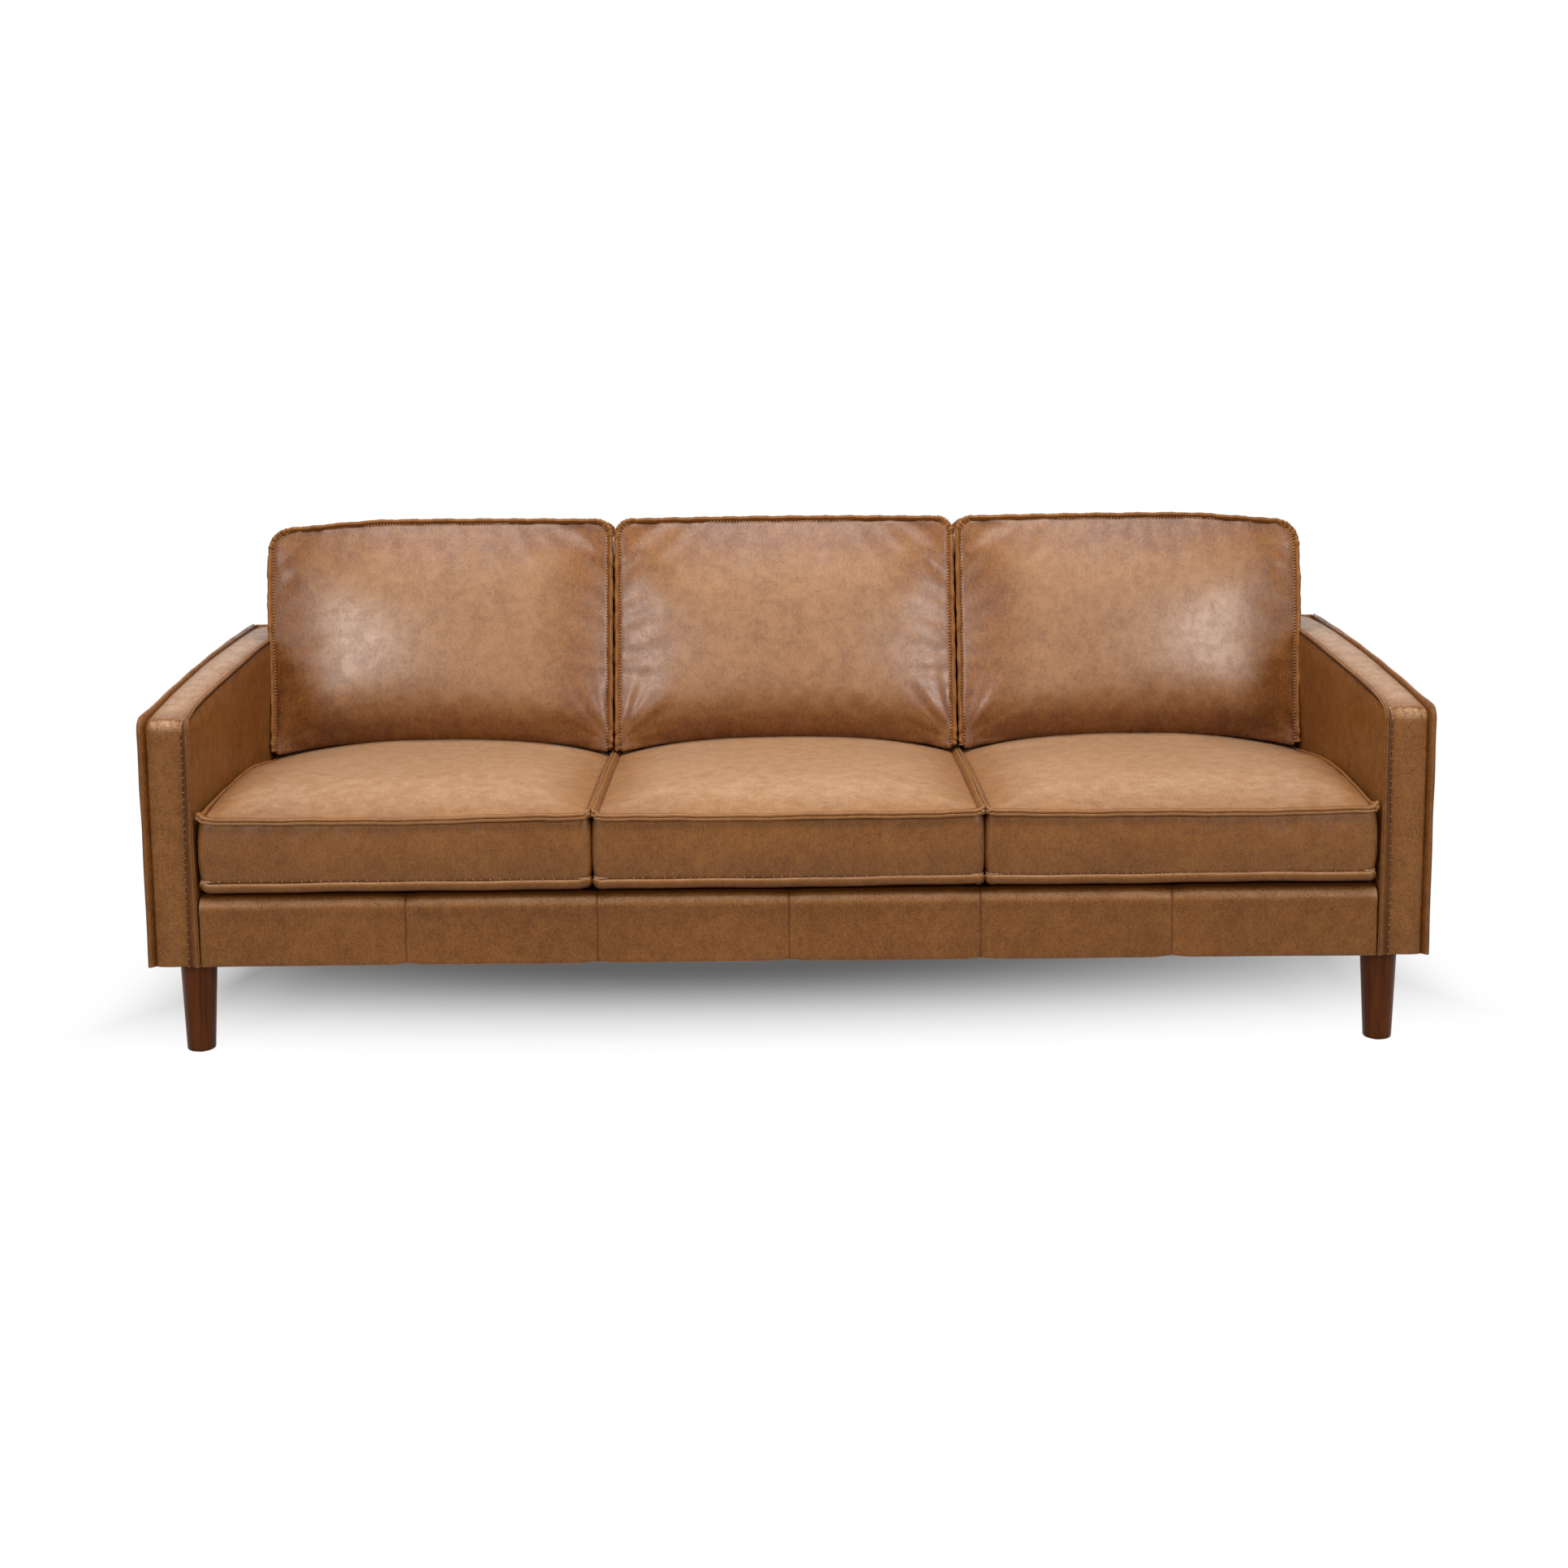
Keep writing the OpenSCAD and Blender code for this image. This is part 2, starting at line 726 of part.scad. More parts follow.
// Height of a seat cushion's top at a share of its half width, a flat arch from side to side
function seat_arch(share) = seat_side_z + (seat_crown_z - seat_side_z) * (1 - share * share);

// The arch has one straight step for each chamber of the back cushion that sits on it
function arch_points(half, z_offset, from, to) =
    [for (i = [0:back_chambers])
        let (s = mix(from, to, i / back_chambers))
        [s * half, seat_arch(s) + z_offset]];

// Front view of a seat cushion
function seat_front_view(half, inset) = concat(
    [[-half + inset, seat_base + inset]],
    arch_points(half - inset, -inset, -1, 1),
    [[half - inset, seat_base + inset]]
);

// Side view of a seat cushion: a bulging front and a top that rises to its crest
function seat_side_view(inset) =
    let (
        y0 = seat_front + inset,
        z0 = seat_base + inset,
        z1 = seat_edge_z - inset,
        y1 = seat_back - inset
    )
    concat(
        [for (i = [0:arc_steps])
            let (t = i / arc_steps)
            [y0 - seat_bulge * 4 * t * (1 - t), mix(z0, z1, t)]],
        [for (i = [1:curve_steps])
            let (t = i / curve_steps)
            [mix(y0, crest_y, t), z1 + (seat_crown_z - seat_edge_z) * (1 - pow(1 - t, 2))]],
        [[y1, seat_crown_z - inset], [y1, z0]]
    );

module seat_cushion_form(i, inset) {
    half = seat_w / 2 - cushion_gap;
    translate([seat_x(i), 0, 0]) intersection() {
        across(-seat_w / 2, seat_w / 2) polygon(seat_side_view(inset));
        along(y_front - seat_bulge - EPS, y_back) polygon(seat_front_view(half, inset));
    }
}

module seat_cover(i) {
    color("peru") difference() {
        seat_cushion_form(i, 0);
        seat_cushion_form(i, cover_t);
    }
}

module seat_core(i) {
    color("khaki") seat_cushion_form(i, cover_t);
}

// Front view of a back cushion: it sits on the seat's arch and has rounded top corners
function back_front_view(half, r_left, r_right, inset) =
    let (
        side = half - inset,
        top = back_cushion_h - inset,
        rl = r_left - inset,
        rr = r_right - inset
    )
    concat(
        [for (i = [0:arc_steps])
            let (a = 90 * i / arc_steps)
            [-side + rl * (1 - cos(a)), top - rl * (1 - sin(a))]],
        [for (i = [0:arc_steps])
            let (a = 90 * i / arc_steps)
            [side - rr * (1 - sin(a)), top - rr * (1 - cos(a))]],
        arch_points(side, cushion_gap + inset, 1, -1)
    );

// Side view of a back cushion: a leaning, bulging face, a round top and a back on the rest
function back_side_view(inset) =
    let (
        z0 = seat_side_z + cushion_gap + inset,
        foot = back_foot_y + inset,
        shoulder = rest_y(back_shoulder_z) - back_shoulder_t + inset,
        rear_top = rest_y(back_shoulder_z) - cushion_gap - inset,
        mid = (shoulder + rear_top) / 2
    )
    concat(
        [for (i = [0:arc_steps])
            let (t = i / arc_steps)
            [mix(foot, shoulder, t) - back_bulge * 4 * t * (1 - t), mix(z0, back_shoulder_z, t)]],
        [for (i = [1:curve_steps])
            let (a = 180 * i / curve_steps)
            [mid - (mid - shoulder) * cos(a),
             back_shoulder_z + (back_cushion_h - inset - back_shoulder_z) * sin(a)]],
        [[rest_y(z0) - cushion_gap - inset, z0]]
    );

module back_cushion_form(i, inset) {
    half = seat_w / 2 - cushion_gap;
    r_left = i == 0 ? back_end_r : back_meet_r;
    r_right = i == seats - 1 ? back_end_r : back_meet_r;
    translate([seat_x(i), 0, 0]) intersection() {
        across(-seat_w / 2, seat_w / 2) polygon(back_side_view(inset));
        along(y_front, y_back) polygon(back_front_view(half, r_left, r_right, inset));
    }
}

module back_cover(i) {
    color("peru") difference() {
        back_cushion_form(i, 0);
        back_cushion_form(i, cover_t);
    }
}

// Bag of fibre, sewn into upright chambers
module back_core(i) {
    half = seat_w / 2 - cushion_gap - cover_t;
    color("khaki") difference() {
        back_cushion_form(i, cover_t);
        for (k = [1:back_chambers - 1])
            translate([seat_x(i) + mix(-half, half, k / back_chambers), 0, 0])
                box(-chamber_gap / 2, chamber_gap / 2, y_front, y_back, seat_base, back_cushion_h);
    }
}

front_rail();
back_rail();
left() side_rail();  // left_side_rail
side_rail();  // right_side_rail
seat_crossbars();
corner_blocks();
leg_blocks();
left() arm_base_rail();  // left_arm_base_rail
arm_base_rail();  // right_arm_base_rail
left() arm_posts();  // left_arm_posts
arm_posts();  // right_arm_posts
left() arm_top_rail();  // left_arm_top_rail
arm_top_rail();  // right_arm_top_rail
left() arm_boards();  // left_arm_boards
arm_boards();  // right_arm_boards
left() arm_padding();  // left_arm_padding
arm_padding();  // right_arm_padding
left() arm_inside_panel();  // left_arm_inside_panel
arm_inside_panel();  // right_arm_inside_panel
left() arm_outside_panel();  // left_arm_outside_panel
arm_outside_panel();  // right_arm_outside_panel
left() arm_boxing();  // left_arm_boxing
arm_boxing();  // right_arm_boxing
arm_bolts();
back_posts();
back_top_rail();
back_lower_rails();
back_board();
back_straps();
back_padding();
back_inside_cover();
back_outside_cover();
seat_straps();
seat_cross_straps();
deck_pad();
deck_cloth();
front_edge_padding();
front_rail_cover();
dust_cover();
leg(-1, leg_front_y);  // front_left_leg
leg(1, leg_front_y);  // front_right_leg
leg(-1, leg_back_y);  // back_left_leg
leg(1, leg_back_y);  // back_right_leg
leg_nuts();
leg_bolts();
leg_glides();
seat_cover(0);  // left_seat_cover
seat_cover(1);  // middle_seat_cover
seat_cover(2);  // right_seat_cover
seat_core(0);  // left_seat_core
seat_core(1);  // middle_seat_core
seat_core(2);  // right_seat_core
back_cover(0);  // left_back_cover
back_cover(1);  // middle_back_cover
back_cover(2);  // right_back_cover
back_core(0);  // left_back_core
back_core(1);  // middle_back_core
back_core(2);  // right_back_core
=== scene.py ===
import json
import math

import bpy
import numpy as np
from mathutils import Matrix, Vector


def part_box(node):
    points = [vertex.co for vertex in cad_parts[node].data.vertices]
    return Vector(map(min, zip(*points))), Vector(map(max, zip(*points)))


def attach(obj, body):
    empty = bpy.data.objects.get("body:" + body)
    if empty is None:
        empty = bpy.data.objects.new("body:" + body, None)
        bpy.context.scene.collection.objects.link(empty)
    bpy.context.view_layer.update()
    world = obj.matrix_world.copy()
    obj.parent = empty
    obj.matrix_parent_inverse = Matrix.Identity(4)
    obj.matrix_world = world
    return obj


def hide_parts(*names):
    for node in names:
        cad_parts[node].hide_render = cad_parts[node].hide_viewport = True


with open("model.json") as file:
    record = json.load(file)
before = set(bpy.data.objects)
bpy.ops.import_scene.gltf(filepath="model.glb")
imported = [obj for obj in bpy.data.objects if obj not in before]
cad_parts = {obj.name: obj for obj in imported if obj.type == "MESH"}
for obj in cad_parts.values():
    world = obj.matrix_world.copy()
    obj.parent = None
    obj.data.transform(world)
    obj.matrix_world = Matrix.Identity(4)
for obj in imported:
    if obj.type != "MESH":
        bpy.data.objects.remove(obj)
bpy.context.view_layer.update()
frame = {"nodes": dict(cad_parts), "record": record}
print("sofa: frame loaded")


def boxOf(node):
    low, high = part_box(node)
    return np.array(low), np.array(high)


armLow, armHigh = boxOf("right_arm_outside_panel")
armInside = boxOf("right_arm_inside_panel")[0][0]  # half the width between the arms
seatLow, seatHigh = boxOf("middle_seat_cover")
restLow, restHigh = boxOf("back_inside_cover")
railLow, railHigh = boxOf("front_rail_cover")
outerLow, outerHigh = boxOf("back_outside_cover")
seatPitch = 2 * armInside / 3
cushionBodies = ["left", "middle", "right"]
cushionCentres = {"left": -seatPitch, "middle": 0.0, "right": seatPitch}


# materials

def newGroup(name, inputs, outputs):
    group = bpy.data.node_groups.new(name, "ShaderNodeTree")
    for socketName, kind, value in inputs:
        socket = group.interface.new_socket(name=socketName, in_out="INPUT", socket_type=kind)
        socket.default_value = value
    for socketName, kind in outputs:
        group.interface.new_socket(name=socketName, in_out="OUTPUT", socket_type=kind)
    nodes, links = group.nodes, group.links
    return group, nodes, links, nodes.new("NodeGroupInput"), nodes.new("NodeGroupOutput")


def addNoise(nodes, links, vector, scale, detail, rough, distortion=0.0):
    node = nodes.new("ShaderNodeTexNoise")
    node.inputs["Scale"].default_value = scale
    node.inputs["Detail"].default_value = detail
    node.inputs["Roughness"].default_value = rough
    node.inputs["Distortion"].default_value = distortion
    links.new(vector, node.inputs["Vector"])
    return node.outputs["Fac"]


def addMath(nodes, links, operation, a, b=None, c=None, clamp=False):
    node = nodes.new("ShaderNodeMath")
    node.operation = operation
    node.use_clamp = clamp
    for socket, value in zip(node.inputs, (a, b, c)):
        if isinstance(value, (int, float)):
            socket.default_value = value
        elif value is not None:
            links.new(value, socket)
    return node.outputs[0]


def addRange(nodes, links, value, low, high, toLow=0.0, toHigh=1.0):
    node = nodes.new("ShaderNodeMapRange")
    node.interpolation_type = "SMOOTHSTEP"
    links.new(value, node.inputs["Value"])
    for name, number in (("From Min", low), ("From Max", high), ("To Min", toLow), ("To Max", toHigh)):
        node.inputs[name].default_value = number
    return node.outputs["Result"]


def addMix(nodes, links, factor, a, b):
    node = nodes.new("ShaderNodeMix")
    node.data_type = "RGBA"
    for socket, value in ((node.inputs["Factor"], factor), (node.inputs["A"], a), (node.inputs["B"], b)):
        if isinstance(value, (int, float)):
            socket.default_value = value
        elif isinstance(value, tuple):
            socket.default_value = (*value, 1.0)
        else:
            links.new(value, socket)
    return node.outputs["Result"]


def addRelief(nodes, links, shader, height, strength, distance):
    relief = nodes.new("ShaderNodeBump")
    relief.inputs["Strength"].default_value = strength
    relief.inputs["Distance"].default_value = distance
    links.new(height, relief.inputs["Height"])
    links.new(relief.outputs["Normal"], shader.inputs["Normal"])


# how many of each mark go to a metre of hide
grain = dict(clouds=5.0, blotches=38.0, mottle=270.0, streaks=120.0, specks=420.0, pores=360.0,
             poreFields=70.0, pebbles=520.0, swells=60.0)


def makeLeatherGroup():
    # waxed hide: soft clouds, short brushed streaks, fine dark specks, open pores and a pebbled grain
    group, nodes, links, given, out = newGroup(
        "pullUpLeather",
        [("Vector", "NodeSocketVector", (0, 0, 0)), ("Light", "NodeSocketColor", (0.5, 0.25, 0.1, 1)),
         ("Dark", "NodeSocketColor", (0.2, 0.08, 0.03, 1)),
         ("Crown", "NodeSocketColor", (0.6, 0.35, 0.2, 1)), ("Clouds", "NodeSocketFloat", 0.5),
         ("Pores", "NodeSocketFloat", 0.5), ("WearAndPaintedLight", "NodeSocketFloat", 0.5)],
        [("Color", "NodeSocketColor"), ("Roughness", "NodeSocketFloat"), ("Height", "NodeSocketFloat")])
    place = given.outputs["Vector"]
    broad = addNoise(nodes, links, place, grain["clouds"], 3.0, 0.5, 0.4)
    middle = addNoise(nodes, links, place, grain["blotches"], 5.0, 0.72, 0.4)
    mottle = addNoise(nodes, links, place, grain["mottle"], 4.0, 0.75, 0.3)
    brushing = nodes.new("ShaderNodeMapping")
    brushing.inputs["Rotation"].default_value = (0.3, 0.5, 0.7)
    brushing.inputs["Scale"].default_value = (2.2, 1.0, 0.55)
    links.new(place, brushing.inputs["Vector"])
    streaks = addNoise(nodes, links, brushing.outputs["Vector"], grain["streaks"], 4.0, 0.65)
    fine = addNoise(nodes, links, place, grain["specks"], 2.0, 0.6)
    cloud = addMath(nodes, links, "MULTIPLY", addRange(nodes, links, broad, 0.3, 0.7), 0.35)
    for value, low, high, share in (
            (middle, 0.36, 0.66, 0.35), (streaks, 0.36, 0.66, 0.3), (mottle, 0.42, 0.68, 0.65)):
        part = addMath(nodes, links, "MULTIPLY", addRange(nodes, links, value, low, high), share)
        cloud = addMath(nodes, links, "ADD", cloud, part)
    shade = addMath(nodes, links, "MULTIPLY", cloud, given.outputs["Clouds"])
    # the per-point value darkens towards Dark where low and pales towards Crown where high: real wear, and
    # also painted shade in valleys, grooves and hollows and painted light on lit tops and edges
    wear = addMath(nodes, links, "SUBTRACT", 1.0, given.outputs["WearAndPaintedLight"])
    shade = addMath(nodes, links, "ADD", shade, addMath(nodes, links, "MULTIPLY", wear, 0.45), clamp=True)
    color = addMix(nodes, links, shade, given.outputs["Light"], given.outputs["Dark"])
    paleness = addRange(nodes, links, given.outputs["WearAndPaintedLight"], 0.45, 1.0)
    uneven = addRange(nodes, links, middle, 0.3, 0.7, 1.0, 0.55)
    paleness = addMath(nodes, links, "MULTIPLY", paleness, uneven)
    color = addMix(nodes, links, paleness, color, given.outputs["Crown"])
    specks = addRange(nodes, links, fine, 0.46, 0.68)
    specks = addMath(nodes, links, "MULTIPLY", specks, addRange(nodes, links, middle, 0.3, 0.6, 0.25, 0.8))
    share = addMath(nodes, links, "MULTIPLY_ADD", given.outputs["Pores"], 0.8, 0.35)
    specks = addMath(nodes, links, "MULTIPLY", specks, share)
    color = addMix(nodes, links, specks, color, given.outputs["Dark"])
    cells = nodes.new("ShaderNodeTexVoronoi")
    cells.inputs["Scale"].default_value = grain["pores"]
    cells.inputs["Randomness"].default_value = 1.0
    links.new(place, cells.inputs["Vector"])
    dots = addMath(nodes, links, "SUBTRACT", 1.0, addRange(nodes, links, cells.outputs["Distance"], 0.2, 0.5))
    fields = addNoise(nodes, links, place, grain["poreFields"], 2.0, 0.6)
    patch = addRange(nodes, links, fields, 0.40, 0.60, 0.25, 1.0)
    pores = addMath(nodes, links, "MULTIPLY", dots, patch)
    poreMask = addMath(nodes, links, "MULTIPLY", pores, given.outputs["Pores"], clamp=True)
    darkest = addMix(nodes, links, 0.35, given.outputs["Dark"], (0.05, 0.014, 0.006))
    color = addMix(nodes, links, poreMask, color, darkest)
    links.new(color, out.inputs["Color"])
    gloss = addRange(nodes, links, middle, 0.35, 0.65, 0.30, 0.38)
    gloss = addMath(nodes, links, "ADD", gloss, addMath(nodes, links, "MULTIPLY", pores, 0.12))
    links.new(gloss, out.inputs["Roughness"])
    pebble = nodes.new("ShaderNodeTexVoronoi")
    pebble.feature = "SMOOTH_F1"
    pebble.inputs["Scale"].default_value = grain["pebbles"]
    links.new(place, pebble.inputs["Vector"])
    soft = addNoise(nodes, links, place, grain["swells"], 3.0, 0.5)
    height = addMath(nodes, links, "MULTIPLY", pebble.outputs["Distance"], -0.35)
    for value, share in ((fine, 0.22), (soft, 0.55), (pores, -0.5)):
        height = addMath(nodes, links, "ADD", height, addMath(nodes, links, "MULTIPLY", value, share))
    links.new(height, out.inputs["Height"])
    return group


def makeMaterial(name):
    material = bpy.data.materials.new(name)
    material.use_nodes = True
    nodes, links = material.node_tree.nodes, material.node_tree.links
    shader = nodes["Principled BSDF"]
    place = nodes.new("ShaderNodeTexCoord").outputs["Object"]
    return material, nodes, links, shader, place


waxFade = (0.68, 0.8)  # the wax thins out between these heights, towards the tops of the back cushions


def makeLeather(name, group, tones, clouds, pores, bump, shine=0.2, wax=0.0, haze=0.1):
    material, nodes, links, shader, place = makeMaterial(name)
    node = nodes.new("ShaderNodeGroup")
    node.node_tree = group
    links.new(place, node.inputs["Vector"])
    for tone in ("Light", "Dark", "Crown"):
        node.inputs[tone].default_value = (*tones[tone.lower()], 1)
    node.inputs["Clouds"].default_value = clouds
    node.inputs["Pores"].default_value = pores
    # the per-point value of wear, painted shade and painted light
    wear = nodes.new("ShaderNodeAttribute")
    wear.attribute_name = "wear"
    links.new(wear.outputs["Fac"], node.inputs["WearAndPaintedLight"])
    links.new(node.outputs["Color"], shader.inputs["Base Color"])
    links.new(node.outputs["Roughness"], shader.inputs["Roughness"])
    addRelief(nodes, links, shader, node.outputs["Height"], 0.5, bump)
    shader.inputs["Specular IOR Level"].default_value = shine
    if wax:
        axes = nodes.new("ShaderNodeSeparateXYZ")
        links.new(place, axes.inputs["Vector"])
        coat = addRange(nodes, links, axes.outputs["Z"], *waxFade, wax, 0.1 * wax)
        links.new(coat, shader.inputs["Coat Weight"])
    shader.inputs["Coat Roughness"].default_value = 0.3
    shader.inputs["Sheen Weight"].default_value = haze
    shader.inputs["Sheen Roughness"].default_value = 0.25
    shader.inputs["Sheen Tint"].default_value = (1.0, 0.93, 0.86, 1.0)
    return material


def makeWood(name, light, dark, alongZ=True, roughness=(0.28, 0.42)):
    # stained wood: long streaks with darker pores
    material, nodes, links, shader, place = makeMaterial(name)
    mapping = nodes.new("ShaderNodeMapping")
    mapping.inputs["Scale"].default_value = (60, 60, 4) if alongZ else (4, 60, 60)
    links.new(place, mapping.inputs["Vector"])
    stretched = mapping.outputs["Vector"]
    streak = addNoise(nodes, links, stretched, 1.0, 6.0, 0.62, 0.8)
    pore = addNoise(nodes, links, stretched, 6.0, 3.0, 0.6)
    tone = addRange(nodes, links, streak, 0.34, 0.66)
    color = addMix(nodes, links, tone, light, dark)
    poreMask = addRange(nodes, links, pore, 0.62, 0.72, 0.0, 0.6)
    color = addMix(nodes, links, poreMask, color, tuple(channel * 0.45 for channel in dark))
    links.new(color, shader.inputs["Base Color"])
    links.new(addRange(nodes, links, streak, 0.3, 0.7, *roughness), shader.inputs["Roughness"])
    shader.inputs["Specular IOR Level"].default_value = 0.1
    addRelief(nodes, links, shader, pore, 0.25, 0.0006)
    return material


def makeCloth(name, light, dark, threads):
    # plain weave: two crossed waves, with slubs in the colour
    material, nodes, links, shader, place = makeMaterial(name)
    waves = []
    for direction in ("X", "Y"):
        wave = nodes.new("ShaderNodeTexWave")
        wave.bands_direction = direction
        wave.inputs["Scale"].default_value = threads / 20
        wave.inputs["Distortion"].default_value = 0.6
        links.new(place, wave.inputs["Vector"])
        waves.append(wave.outputs["Fac"])
    weave = addMath(nodes, links, "MULTIPLY", *waves)
    slub = addNoise(nodes, links, place, 90.0, 4.0, 0.7)
    color = addMix(nodes, links, addRange(nodes, links, slub, 0.35, 0.65), light, dark)
    links.new(color, shader.inputs["Base Color"])
    shader.inputs["Roughness"].default_value = 0.9
    addRelief(nodes, links, shader, weave, 0.4, 0.0005)
    return material


def makeMetal(name, color, roughness):
    # fine noise shifts the colour and the roughness a little
    material, nodes, links, shader, place = makeMaterial(name)
    brushed = addNoise(nodes, links, place, 700.0, 2.0, 0.5)
    darker = tuple(channel * 0.8 for channel in color)
    links.new(addMix(nodes, links, brushed, color, darker), shader.inputs["Base Color"])
    links.new(addRange(nodes, links, brushed, 0.3, 0.7, roughness - 0.08, roughness + 0.08),
              shader.inputs["Roughness"])
    shader.inputs["Metallic"].default_value = 1.0
    return material


# crown is the pale tone that worn tops and painted light on the lit tops fade to
tan = dict(light=(0.39, 0.162, 0.040), dark=(0.115, 0.034, 0.006), crown=(0.49, 0.295, 0.165))
leatherGroup = makeLeatherGroup()
leathers = {
    "seat": makeLeather("leatherSeat", leatherGroup, tan, 0.42, 0.2, 0.0006, 0.26),
    "back": makeLeather("leatherBack", leatherGroup, tan, 0.6, 0.1, 0.0003, 0.45, 0.4, 0.0),
    "arm": makeLeather("leatherArm", leatherGroup, tan, 0.42, 0.55, 0.0010),
    "armInside": makeLeather("leatherArmInside", leatherGroup, tan, 0.42, 0.55, 0.0010, 0.12, 0.0, 0.0),
    "rail": makeLeather("leatherRail", leatherGroup, tan, 0.42, 0.5, 0.0009),
    "edge": makeLeather("leatherEdge", leatherGroup, tan, 0.3, 0.15, 0.0007),
}
threadMaterial = makeCloth("threadBrown", (0.45, 0.24, 0.13), (0.32, 0.16, 0.08), 4000)
print("sofa: leathers made")


# mesh helpers

def smoothStep(x):
    # 3 x^2 - 2 x^3 from 0 to 1, flat outside
    x = np.clip(x, 0.0, 1.0)
    return x * x * (3 - 2 * x)


def ripple(x, y, seed, count, base=1.0):
    # sum of sines with turned directions and rising frequencies, about -1 to 1
    rng = np.random.default_rng(seed)
    total = np.zeros(np.broadcast(x, y).shape)
    for k in range(count):
        angle = rng.uniform(0, math.pi)
        frequency = base * 1.7 ** k
        phase = rng.uniform(0, 6.28)
        total += np.sin(frequency * (x * math.cos(angle) + y * math.sin(angle)) + phase) / 1.5 ** k
    return total / 2.2


def makePiece(name, points, faces, material):
    mesh = bpy.data.meshes.new(name)
    points = np.ascontiguousarray(points, dtype=np.float32).reshape(-1, 3)
    mesh.from_pydata(points.tolist(), [], faces.tolist() if isinstance(faces, np.ndarray) else faces)
    mesh.materials.append(material)
    mesh.polygons.foreach_set("use_smooth", np.ones(len(mesh.polygons), bool))
    mesh.update()
    piece = bpy.data.objects.new(name, mesh)
    bpy.context.scene.collection.objects.link(piece)
    return piece


def setValues(piece, key, values):
    layer = piece.data.attributes.new(key, "FLOAT", "POINT")
    layer.data.foreach_set("value", np.ascontiguousarray(values, dtype=np.float32).ravel())


def readVectors(vertices, key):
    values = np.empty(len(vertices) * 3, np.float32)
    vertices.foreach_get(key, values)
    return values.reshape(-1, 3)


def writePoints(piece, points):
    piece.data.vertices.foreach_set("co", np.ascontiguousarray(points, dtype=np.float32).ravel())
    piece.data.update()


def gridFaces(nu, nv, wrapV=False, flip=False):
    # quads over an nu by nv array of points
    i, j = np.meshgrid(np.arange(nu - 1), np.arange(nv if wrapV else nv - 1), indexing="ij")
    k = (j + 1) % nv
    quads = np.stack([i * nv + j, (i + 1) * nv + j, (i + 1) * nv + k, i * nv + k], -1).reshape(-1, 4)
    return quads[:, ::-1] if flip else quads


def joinParts(parts):
    # stacks (points, faces, value of wear and painted light) parts into one set of arrays
    points, faces, wear, start = [], [], [], 0
    for partPoints, partFaces, partWearAndPaintedLight in parts:
        flat = partPoints.reshape(-1, 3)
        points.append(flat)
        faces += [[vertex + start for vertex in face] for face in partFaces]
        wear.append(np.broadcast_to(np.asarray(partWearAndPaintedLight, float).ravel(), (len(flat),)))
        start += len(flat)
    return np.concatenate(points), faces, np.concatenate(wear)


def pathTangents(path, closed=False):
    # unit differences between the points on either side
    if closed:
        step = np.roll(path, -1, 0) - np.roll(path, 1, 0)
    else:
        step = np.gradient(path, axis=0)
    return step / np.linalg.norm(step, axis=1, keepdims=True)


def joinAxes(x, y, z):
    # one array of points from three arrays or numbers that share a shape
    return np.stack(np.broadcast_arrays(x, y, z), -1)


def unit(vectors):
    return vectors / np.linalg.norm(vectors, axis=-1, keepdims=True)


def sweepStrip(path, outward, profile, wave, closed=False):
    # carries a closed profile of (out, side) points along a path:
    # point = path + wave * out * outward + side * across
    tangent = pathTangents(path, closed)
    outward = unit(outward - (outward * tangent).sum(1, keepdims=True) * tangent)
    across = np.cross(tangent, outward)
    out = profile[None, :, 0, None] * wave[:, None, None]
    points = path[:, None] + out * outward[:, None] + profile[None, :, 1, None] * across[:, None]
    nu, nv = points.shape[:2]
    if closed:
        points = np.concatenate([points, points[:1]])
        nu += 1
    faces = gridFaces(nu, nv, wrapV=True, flip=True).tolist()
    if not closed:
        faces.append(list(range(nv)))
        faces.append([(nu - 1) * nv + j for j in reversed(range(nv))])
    return points, faces


def lengthsAlong(path):
    # running sum of the distances between neighbouring points, from 0
    return np.concatenate([[0], np.cumsum(np.linalg.norm(np.diff(path, axis=0), axis=1))])


def resample(path, count, closed=False):
    # even stops along straight lines between the points, and the whole length
    if closed:
        path = np.concatenate([path, path[:1]])
    length = lengthsAlong(path)
    stops = np.linspace(0, length[-1], count, endpoint=not closed)
    return np.stack([np.interp(stops, length, path[:, k]) for k in range(path.shape[1])], 1), length[-1]


stitchSlant = 1.1  # radians


def stitchRow(path, normal, pitch=0.0054, length=0.0042, radius=0.0010, closed=False):
    # small six-sided spindles in a row along a path, each turned out of it by the slant
    joined = np.concatenate([path, normal], 1)
    count = max(2, int(np.linalg.norm(np.diff(path, axis=0), axis=1).sum() / pitch))
    spots, _ = resample(joined, count, closed)
    centre, lift = spots[:, :3], unit(spots[:, 3:])
    tangent = pathTangents(centre, closed)
    tangent = math.cos(stitchSlant) * tangent + math.sin(stitchSlant) * np.cross(tangent, lift)
    across = np.cross(tangent, lift)
    turn = np.linspace(0, 2 * math.pi, 6, endpoint=False)
    rings = [(-0.5, 0.25), (-0.3, 0.95), (0.3, 0.95), (0.5, 0.25)]
    ring = np.cos(turn)[None, :, None] * across[:, None] + np.sin(turn)[None, :, None] * lift[:, None]
    points = np.stack([centre[:, None] + tangent[:, None] * length * along + radius * width * ring
                       for along, width in rings], 1)
    one = gridFaces(4, 6, wrapV=True, flip=True).tolist() + [[0, 1, 2, 3, 4, 5], [23, 22, 21, 20, 19, 18]]
    faces = []
    for k in range(count):
        faces += [[24 * k + v for v in face] for face in one]
    return points.reshape(-1, 3), faces


